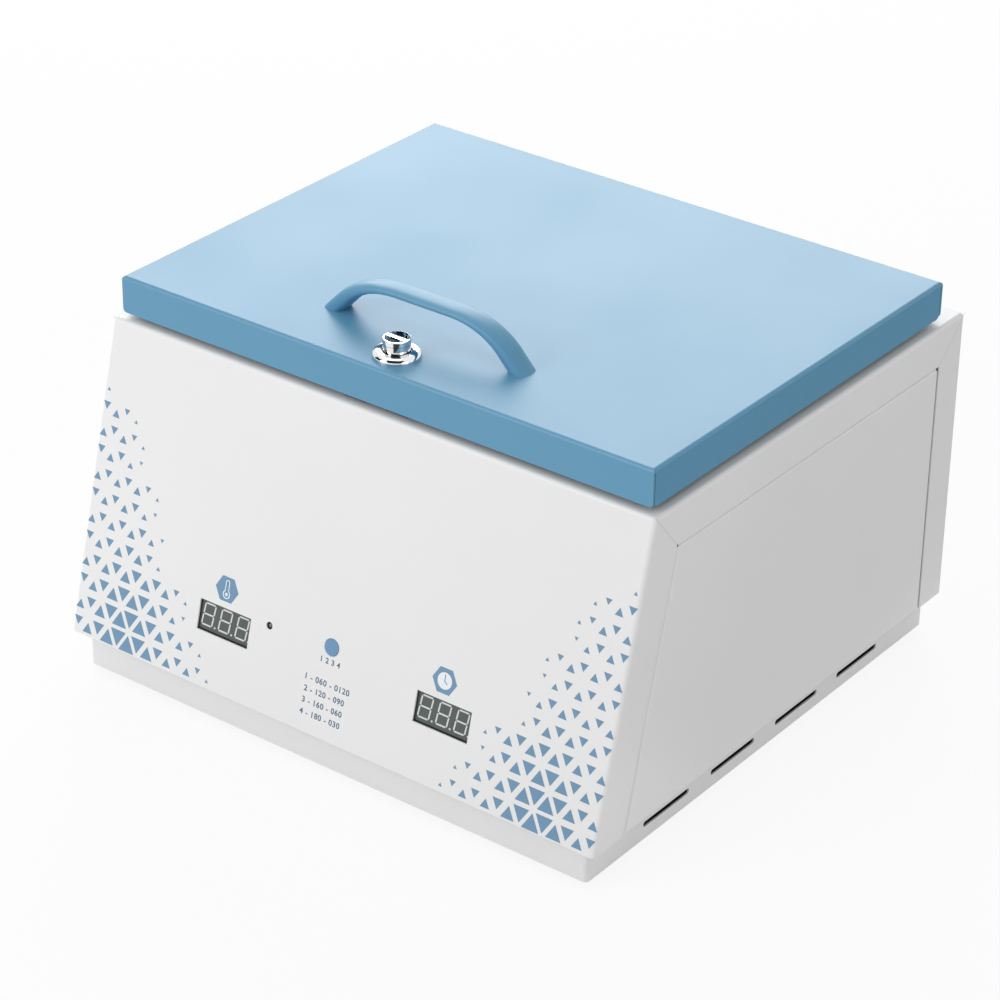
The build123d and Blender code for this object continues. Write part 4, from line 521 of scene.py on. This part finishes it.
# Painted shadow: a black strip along the lower edge of each display window.
shadow_strip_up = DISPLAY_UP - (WINDOW_HEIGHT - SHADOW_STRIP_HEIGHT) / 2
shadow_strip_half = np.array((WINDOW_WIDTH / 2, 0))
shadow_strip_middles = [np.array((side * DISPLAY_ACROSS, shadow_strip_up)) for side in (-1, 1)]
shadow_strips = [stroke(middle - shadow_strip_half, middle + shadow_strip_half, SHADOW_STRIP_HEIGHT) for middle in shadow_strip_middles]
shadow_strip_points, shadow_strip_faces = slabs(shadow_strips, face_out, face_out + SHADOW_STRIP_PROUD)
painted_shadow_strip = finish("painted_shadow_strip", lambda wire: {
    "Base Color": wire.place().noise(900.0).between((0.003, 0.003, 0.003), (0.006, 0.006, 0.006)),
    "Roughness": 0.8,
})
piece("display_painted_shadows", shadow_strip_points, shadow_strip_faces, painted_shadow_strip, "casing")

# Lid
# The lid pan is folded from sheet and carries a blue powder coat, smoother than that of the casing.
# Its corners are welded and ground round.
LID_BLUE = (0.108, 0.310, 0.482)
LID_PEBBLES = 0.008 * MM

lid_coat = finish("lid_powder_coat", powder_coat(LID_BLUE, LID_PEBBLES))
dress(lid_coat, "lid_cover")

# Handle
# The bow handle is a zinc casting, screwed through the lid from below and coated together with it.
# Its flattened oval section follows a bow with wide shoulders, and both feet are cut level on the lid.
HANDLE_OUT = 2.9 * MM
HANDLE_IN = 2.2 * MM
HANDLE_SQUARENESS = 2.7
HANDLE_FOOT_GROWTH = 0.75
HANDLE_FOOT_INSET = 7.4 * MM
HANDLE_LEG_RUN = 21.0 * MM
HANDLE_BEND_TOP = 24.0 * MM
HANDLE_BEND_LEG = 19.0 * MM
HANDLE_TOP_POINTS = 16
HANDLE_BEND_POINTS = 33
HANDLE_FOOT_RINGS = 13
HANDLE_SECTION_POINTS = 57
MERGE = 0.004 * MM
FOLD = np.radians(35.0)


def joined(name, grids, material, body):
    """Closed smooth piece made of grids of points that share their borders, with its folds kept sharp."""
    points, faces, start = [], [], 0
    for grid in grids:
        rows, columns = grid.shape[:2]
        index = start + np.arange(rows * columns).reshape(rows, columns)
        corners = [index[:-1, :-1], index[1:, :-1], index[1:, 1:], index[:-1, 1:]]
        faces.append(np.stack(corners, axis=-1).reshape(-1, 4))
        points.append(grid.reshape(-1, 3))
        start += rows * columns
    made = piece(name, np.concatenate(points), np.concatenate(faces).tolist(), material, body, smooth=True)
    shape = bmesh.new()
    shape.from_mesh(made.data)
    bmesh.ops.remove_doubles(shape, verts=shape.verts, dist=MERGE)
    bmesh.ops.dissolve_degenerate(shape, edges=shape.edges, dist=MERGE / 4)
    bmesh.ops.recalc_face_normals(shape, faces=shape.faces)
    shape.to_mesh(made.data)
    shape.free()
    made.data.set_sharp_from_angle(angle=FOLD)
    return made


def superellipse(angle):
    """Cosine and sine of an angle, each raised to two over the squareness with its sign kept."""
    power = 2 / HANDLE_SQUARENESS
    return [np.sign(part) * np.abs(part) ** power for part in (np.cos(angle), np.sin(angle))]


def bow_line(shoulder, bend_start, bend_end):
    """Middle line of the bow as (across, up): flat top, then a quadratic Bezier bend about each shoulder."""
    t = np.linspace(0, 1, HANDLE_BEND_POINTS)[:, None]
    bend = (1 - t) ** 2 * bend_start + 2 * t * (1 - t) * shoulder + t ** 2 * bend_end
    top = np.linspace((0, shoulder[1]), bend_start, HANDLE_TOP_POINTS)
    half_bow = np.concatenate([top[:-1], bend])
    return np.concatenate([half_bow[:0:-1] * (-1, 1), half_bow])


def bow_rings(bow, bend_start, bend_end, width):
    """Rings of the swept handle, one across each point of its middle line.

    Each ring is a superellipse that reaches half the width to both sides, and less far inwards than
    outwards. Its thickness grows with the square of the way from the start to the end of the bend.
    """
    run = np.gradient(bow, axis=0)
    run /= np.linalg.norm(run, axis=1, keepdims=True)
    wide, thick = superellipse(np.linspace(0, 2 * np.pi, HANDLE_SECTION_POINTS))
    grown = np.clip((np.abs(bow[:, :1]) - bend_start[0]) / (bend_end[0] - bend_start[0]), 0, 1) ** 2
    out = thick * np.where(thick > 0, HANDLE_OUT, HANDLE_IN) * (1 + HANDLE_FOOT_GROWTH * grown)
    sideways, up = bow[:, :1] - run[:, 1:] * out, bow[:, 1:] + run[:, :1] * out
    return np.stack(np.broadcast_arrays(sideways, wide * width / 2, up), axis=-1)


def foot_rings(ring, way):
    """Rings that slide one ring along its leg down to the lid, and close there in a point."""
    level = ring - np.array(way) * (ring[:, 2:] / way[2])
    share = np.linspace(0, 1, HANDLE_FOOT_RINGS)[:, None, None]
    pole = np.broadcast_to(level[:-1].mean(0), level.shape)
    return np.concatenate([ring + share * (level - ring), [pole]])


handle_low, handle_high = (np.array(corner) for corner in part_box("handle"))
handle_middle = (0, (handle_low[1] + handle_high[1]) / 2, handle_low[2])
handle_rise = handle_high[2] - handle_low[2] - HANDLE_OUT
shoulder = np.array([handle_high[0] - HANDLE_FOOT_INSET - HANDLE_LEG_RUN, handle_rise])
leg = np.array([HANDLE_LEG_RUN, -handle_rise]) / np.hypot(HANDLE_LEG_RUN, handle_rise)
bend_start, bend_end = shoulder - (HANDLE_BEND_TOP, 0), shoulder + HANDLE_BEND_LEG * leg
bow = bow_line(shoulder, bend_start, bend_end)
rings = bow_rings(bow, bend_start, bend_end, handle_high[1] - handle_low[1])
left_foot = foot_rings(rings[0], (-leg[0], 0, leg[1]))
right_foot = foot_rings(rings[-1], (leg[0], 0, leg[1]))
swept = np.concatenate([left_foot[:0:-1], rings, right_foot[1:]])
handle_mesh = joined("bow_handle", [swept + handle_middle], lid_coat, "lid")
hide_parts("handle")

# Latch
# The rosette, the barrel through the lid and the knob are turned brass, polished and chromium plated.
# Two pockets sunk into the knob leave a bar for the fingers. It is pressed on the spindle that has the cam.
# Lengths are in millimetres here, and profiles are (radius, height) over the lid.
CHROME = (0.83, 0.84, 0.85)
# Dark teal of the pocket floors: a painted reflection of the blue lid.
POCKET_PAINTED_REFLECTION = (0.060, 0.115, 0.150)
BORE_RADIUS = 4.2
ROSETTE_WELL = [(BORE_RADIUS, 1.3), (8.3, 1.3), (8.3, 3.7), (8.6, 3.7), (8.6, 4.0), (9.1, 4.0)]
ROSETTE_CROWN = (9.4, 3.9)
ROSETTE_RIM = (13.5, 1.1)
BARREL = [(BORE_RADIUS, 0.0), (BORE_RADIUS, -14.0), (7.0, -14.0), (7.0, 0.0), (BORE_RADIUS, 0.0)]
KNOB_RADIUS = 7.7
KNOB_FOOT = 1.6
KNOB_CHAMFER = 0.3
KNOB_TOP = 11.0
KNOB_EDGE = 0.5
POCKET_RADIUS = 6.8
POCKET_FLOOR = 8.0
FLOOR_MARGIN = 0.1
BAR_HALF = 1.5
LONG_ARC_POINTS = 41
SHORT_ARC_POINTS = 9
WHOLE_TURN = np.linspace(0, 2 * np.pi, 97)

latch_x, latch_y, _ = joint("latch_turn")["pos_m"]
axis_foot = np.array([latch_x, latch_y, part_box("lid_cover")[1][2]])


def chrome(wire):
    """Bright chromium plate, with a trace of polishing marks."""
    marks = wire.place().noise(700.0, 2.0)
    return {"Base Color": (*CHROME, 1), "Metallic": 1.0, "Roughness": 0.05 + 0.05 * marks}


def chrome_with_painted_pockets(wire):
    """Chromium plate with a painted reflection of the lid, dark teal, on the pocket floors at one height."""
    sockets = chrome(wire)
    height = wire.node("SeparateXYZ", sockets={0: wire.place()}, output="Z")
    under = wire.math("LESS_THAN", height, axis_foot[2] + (POCKET_FLOOR + FLOOR_MARGIN) * MM)
    over = wire.math("GREATER_THAN", height, axis_foot[2] + (POCKET_FLOOR - FLOOR_MARGIN) * MM)
    sockets["Base Color"] = (under * over).between(CHROME, POCKET_PAINTED_REFLECTION)
    return sockets


def level_rows(*rows):
    """Grid of rows of points over the latch's foot, each row given as its x, its y and its height."""
    return axis_foot + np.stack([np.stack(np.broadcast_arrays(*row), axis=-1) for row in rows]) * MM


def turned(profile, angle=WHOLE_TURN):
    """Grid of a turned surface: each (radius, height) of the profile, swept round the latch's axis."""
    cosine, sine = np.cos(angle), np.sin(angle)
    return level_rows(*[(radius * cosine, radius * sine, height) for radius, height in profile])


def rounded(low, high, steps=9):
    """Quarter of an ellipse between two (radius, height) points, bulging up and out."""
    angle = np.linspace(0, np.pi / 2, steps)
    return [(high[0] + (low[0] - high[0]) * c, low[1] + (high[1] - low[1]) * s)
            for c, s in zip(np.cos(angle), np.sin(angle))]


def knob_grids():
    """Grids of the knob: its turned outside, two pockets shaped as circle segments, the bar between them.

    The circle round the pockets is cut where the bar's two edges meet it, into long arcs along the pockets
    and short arcs over the bar's ends. Every surface that meets it has its points at the same angles.
    """
    reach = np.sqrt(POCKET_RADIUS ** 2 - BAR_HALF ** 2)
    long_arc = np.linspace(-1, 1, LONG_ARC_POINTS) * np.arcsin(reach / POCKET_RADIUS)
    short_arc = np.linspace(-1, 1, SHORT_ARC_POINTS) * np.arcsin(BAR_HALF / POCKET_RADIUS)
    right, top, left, bottom = np.arange(4) * np.pi / 2
    around = [right + short_arc, top + long_arc[1:], left + short_arc[1:], bottom + long_arc[1:]]
    outside = [(0.0, KNOB_FOOT), (KNOB_RADIUS - KNOB_CHAMFER, KNOB_FOOT)]
    outside += [(KNOB_RADIUS, KNOB_FOOT + KNOB_CHAMFER)]
    outside += rounded((KNOB_RADIUS, KNOB_TOP - KNOB_EDGE), (KNOB_RADIUS - KNOB_EDGE, KNOB_TOP))
    outside += [(POCKET_RADIUS, KNOB_TOP)]
    along, over = POCKET_RADIUS * np.sin(long_arc), POCKET_RADIUS * np.cos(long_arc)
    beside, beyond = POCKET_RADIUS * np.sin(short_arc), POCKET_RADIUS * np.cos(short_arc)
    grids = [turned(outside, np.concatenate(around)), level_rows(*[(along, y, KNOB_TOP) for y in beside])]
    for hand in (-1, 1):
        grids.append(level_rows(
            (along, hand * over, KNOB_TOP), (along, hand * over, POCKET_FLOOR),
            (along, hand * BAR_HALF, POCKET_FLOOR), (along, hand * BAR_HALF, KNOB_TOP)))
        grids.append(level_rows((hand * beyond, beside, KNOB_TOP), (hand * reach, beside, KNOB_TOP)))
    return grids


rosette = ROSETTE_WELL + rounded(ROSETTE_RIM, ROSETTE_CROWN, 14)[::-1]
rosette += [(ROSETTE_RIM[0], 0.0), (BORE_RADIUS, 0.0), ROSETTE_WELL[0]]
bright_chrome = finish("bright_chrome", chrome)
rosette_mesh = joined("latch_rosette", [turned(rosette)], bright_chrome, "lid")
barrel_mesh = joined("latch_barrel", [turned(BARREL)], bright_chrome, "lid")
knob_mesh = joined("latch_turn_knob", knob_grids(), finish("chrome_painted_pocket_reflection", chrome_with_painted_pockets), "latch")
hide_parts("latch_body")
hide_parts("latch_knob")

# Zinc plated parts
# Spindle, cam, nut, brackets, studs, clamps and screws are turned or pressed from steel, screwed in place.
# Their zinc plate is clear passivated, and softly mottled in tone and shine.


def zinc(wire):
    """Clear passivated zinc plate, softly mottled."""
    mottle = wire.place().noise(300.0, 3.0)
    return {
        "Base Color": mottle.between((0.50, 0.52, 0.55), (0.64, 0.65, 0.66)),
        "Metallic": 1.0,
        "Roughness": 0.28 + 0.16 * mottle,
    }


zinc_plate = finish("zinc_plate", zinc)
dress(zinc_plate, "latch_spindle", "latch_cam", "latch_nut", "cam_screw", "bracket_left",
      "bracket_right", "liner_studs", "handle_screws", "board_screws", "heater_clamps")

# Strike plate and fork
# The strip on the casing that the cam grips and the fork under the lid are pressed from thicker steel.
# Both are painted near black, dull and almost even, as painted shade for the gap under the lid's front edge.
dress(finish("strike_and_fork_painted_shade", lambda wire: {
    "Base Color": wire.place().noise(250.0, 3.0).between((0.018, 0.018, 0.019), (0.035, 0.035, 0.037)),
    "Roughness": 0.5,
}), "strike_plate", "latch_fork")

# Button and lamp
# The round button is moulded in blue plastic and slides in its hole in the leaning front.
# The lamp is an unlit diode of clear plastic, dark grey and shiny, pushed into a hole near it.
dress(finish("button_plastic", lambda wire: {
    "Base Color": wire.place().noise(500.0).between((0.130, 0.275, 0.480), (0.150, 0.300, 0.505)),
    "Roughness": 0.38,
}), "program_button")
dress(finish("lamp_plastic", lambda wire: {
    "Base Color": wire.place().noise(400.0).between((0.10, 0.11, 0.12), (0.16, 0.17, 0.18)),
    "Roughness": 0.15, "Coat Weight": 0.5,
}), "indicator_led")

# Stainless parts
# Tank, lid lining, tray, rails and hinge leaves are cut and folded from brushed stainless sheet.
# Hinge pins, probe, heater tube and the screws named here are drawn or turned from stainless stock.


def brushed(wire):
    """Stainless steel brushed along X: long fine streaks in tone and roughness."""
    streaks = wire.place().stretch((6.0, 900.0, 900.0)).noise(1.0, 3.0)
    broad = wire.place().noise(14.0, 2.0)
    return {
        "Base Color": streaks.between((0.52, 0.52, 0.53), (0.66, 0.66, 0.67)),
        "Metallic": 1.0,
        "Roughness": 0.22 + 0.12 * streaks + 0.06 * broad,
    }


dress(finish("brushed_stainless", brushed), "chamber", "lid_liner", "instrument_tray", "tray_rail_left",
      "tray_rail_right", "temperature_probe", "probe_nut", "hinge_case_leaf_left", "hinge_case_leaf_right",
      "hinge_lid_leaf_left", "hinge_lid_leaf_right", "hinge_pin_left", "hinge_pin_right", "heating_element",
      "hinge_case_screws", "hinge_lid_screws", "inlet_screws", "liner_screws", "cover_screws", "foot_screws")

# Rubber, silicone and plastics
# Black rubber feet are screwed on from below, and a moulded gasket of red brown silicone lies in the lid.
# The inlet, the switches, the cut-out, the transformer and the terminal block have black moulded cases.
dress(finish("black_rubber", lambda wire: {
    "Base Color": wire.place().noise(200.0).between((0.012, 0.012, 0.012), (0.022, 0.022, 0.022)),
    "Roughness": 0.75,
}), "rubber_feet")
dress(finish("silicone", lambda wire: {
    "Base Color": wire.place().noise(120.0).between((0.34, 0.075, 0.040), (0.40, 0.095, 0.050)),
    "Roughness": 0.55,
}), "lid_gasket")
dress(finish("black_moulding", lambda wire: {
    "Base Color": (0.018, 0.018, 0.019, 1),
    "Roughness": 0.42 + 0.12 * wire.place().noise(300.0),
    "Normal": wire.place().noise(1600.0).bump(0.01 * MM),
}), "mains_inlet", "switch_housing", "power_rocker", "thermal_cutout", "transformer", "terminal_block",
    "key_switch")

# Insulation
# Mineral wool fills the space round the tank and in the lid.
# It is cut from yellow brown batts and held by the sheet metal round it.
dress(finish("mineral_wool", lambda wire: {
    "Base Color": wire.place().noise(160.0, 5.0).between((0.42, 0.34, 0.17), (0.62, 0.54, 0.33)),
    "Roughness": 0.95,
    "Normal": wire.place().noise(420.0, 4.0).bump(1.2 * MM),
}), "chamber_insulation", "lid_insulation")

# Boards and their parts
# The two boards are laminate under green lacquer, screwed to turned brass posts.
# The heat sink is cast aluminium, and white ceramic sleeves lead the heater's legs through the tank.
dress(finish("board_lacquer", lambda wire: {
    "Base Color": wire.place().noise(350.0, 2.0).between((0.012, 0.075, 0.030), (0.020, 0.110, 0.045)),
    "Roughness": 0.35,
}), "control_board", "power_board")
dress(finish("brass_posts", lambda wire: {
    "Base Color": (0.70, 0.52, 0.22, 1), "Metallic": 1.0,
    "Roughness": 0.25 + 0.1 * wire.place().noise(400.0),
}), "board_standoffs")
dress(finish("cast_aluminium", lambda wire: {
    "Base Color": (0.62, 0.63, 0.65, 1), "Metallic": 1.0,
    "Roughness": 0.35 + 0.1 * wire.place().noise(500.0),
}), "heatsink")
dress(finish("white_ceramic", lambda wire: {
    "Base Color": wire.place().noise(300.0).between((0.70, 0.68, 0.62), (0.78, 0.76, 0.70)),
    "Roughness": 0.5,
}), "heater_sleeves")

# Studio
# The object stands on a white sweep under four soft square lamps, in a white room.
# Seen by the camera, directly or in plating, the ground is close to white with the object's shadow kept.
STUDIO_MIDDLE = (0, 0, 0.12)
GROUND_WIDTH = 60.0
GROUND_WHITE = (0.86, 0.86, 0.86, 1)
GROUND_GLOW = 0.90
ROOM_LIGHT = 0.45
LAMPS = [
    ("top_lamp", (-0.4, -0.3, 2.2), 1.6, 6.0),
    ("front_lamp", (-1.3, -2.3, 1.3), 1.4, 32.0),
    ("rear_lamp", (-1.7, 2.2, 1.55), 2.0, 52.0),
    ("side_lamp", (2.6, -0.7, 0.9), 1.2, 13.0),
]


def seen(wire):
    """One for rays from the camera, also by way of plating or glass, and nought for the rays of light."""
    camera, glossy, through = (
        wire.node("LightPath", output=f"Is {kind} Ray") for kind in ("Camera", "Glossy", "Transmission"))
    return wire.math("MAXIMUM", wire.math("MAXIMUM", camera, glossy), through)


def staged_square(name, width, material):
    """Level square of a width about the origin, linked to the scene but to no body."""
    half = width / 2
    corners = [(-half, -half, 0), (half, -half, 0), (half, half, 0), (-half, half, 0)]
    made = bpy.data.objects.new(name, bpy.data.meshes.new(name))
    made.data.from_pydata(corners, [], [(0, 1, 2, 3)])
    made.data.materials.append(material)
    bpy.context.collection.objects.link(made)
    return made


def looking(place, aim, roll=0.0):
    """Matrix of a thing at a place that looks at a point, rolled about its line of sight."""
    back = (Vector(place) - Vector(aim)).normalized()
    right = Vector((0, 0, 1)).cross(back).normalized()
    facing = Matrix((right, back.cross(right), back)).transposed() @ Matrix.Rotation(roll, 3, "Z")
    return Matrix.Translation(place) @ facing.to_4x4()


ground = bpy.data.materials.new("ground")
ground.use_nodes = True
wire = Wire(ground.node_tree)
plain = wire.node("BsdfDiffuse", sockets={"Color": GROUND_WHITE})
glow = wire.node("Emission", sockets={"Color": (1, 1, 1, 1), "Strength": 1.0})
mixed = wire.node("MixShader", sockets={0: GROUND_GLOW * seen(wire), 1: plain, 2: glow})
output = next(node for node in ground.node_tree.nodes if node.type == "OUTPUT_MATERIAL")
ground.node_tree.links.new(mixed.socket, output.inputs["Surface"])
staged_square("floor", GROUND_WIDTH, ground)

world = bpy.data.worlds.new("studio")
bpy.context.scene.world = world
world.use_nodes = True
room = world.node_tree.nodes["Background"]
room.inputs["Color"].default_value = (1, 1, 1, 1)
strength = ROOM_LIGHT + (1 - ROOM_LIGHT) * seen(Wire(world.node_tree))
world.node_tree.links.new(strength.socket, room.inputs["Strength"])

for name, place, width, power in LAMPS:
    light = bpy.data.lights.new(name, "AREA")
    light.shape = "SQUARE"
    light.size = width
    light.energy = power
    lamp = bpy.data.objects.new(name, light)
    bpy.context.collection.objects.link(lamp)
    lamp.matrix_world = looking(place, STUDIO_MIDDLE)

# Dark cards
# Black cards above, beside and on the floor give the bright plating something dark to mirror.
# Only mirrored rays see them, and they cast no shadow.
CARDS = [
    ("card_above", (0.45, -0.95, 1.35), 1.7, STUDIO_MIDDLE),
    ("card_left", (-1.1, -0.8, 0.75), 0.9, STUDIO_MIDDLE),
    ("card_front", (0.36, -0.56, 0.004), 0.5, (0.36, -0.55, -1.0)),
    ("card_right", (0.62, 0.35, 0.004), 0.8, (0.62, 0.36, -1.0)),
]
black_card = finish("black_card", lambda wire: {"Base Color": (0.01, 0.01, 0.01, 1), "Roughness": 0.9})
for name, place, width, aim in CARDS:
    card = staged_square(name, width, black_card)
    card.matrix_world = looking(place, aim)
    card.visible_camera = False
    card.visible_diffuse = False
    card.visible_shadow = False

# Camera
# Its place, direction, roll and focal length were solved from the model's corners in the photo.
# Azimuth turns from the front towards the right side, in degrees.
CAMERA_PLACE = (1.034135, -1.398031, 1.067563)
CAMERA_AZIMUTH = 36.7955
CAMERA_ELEVATION = 29.1314
CAMERA_ROLL = 0.8964
FOCAL_PIXELS = 3472.54
IMAGE_PIXELS = 1000
SENSOR = 36.0

camera = bpy.data.objects.new("camera", bpy.data.cameras.new("camera"))
bpy.context.collection.objects.link(camera)
camera.data.sensor_width = SENSOR
camera.data.lens = FOCAL_PIXELS / IMAGE_PIXELS * SENSOR
azimuth, elevation = np.radians(CAMERA_AZIMUTH), np.radians(CAMERA_ELEVATION)
level = np.cos(elevation)
back = np.array([np.sin(azimuth) * level, -np.cos(azimuth) * level, np.sin(elevation)])
camera.matrix_world = looking(CAMERA_PLACE, np.array(CAMERA_PLACE) - back, np.radians(CAMERA_ROLL))
bpy.context.scene.camera = camera
bpy.context.scene.view_settings.view_transform = "Standard"
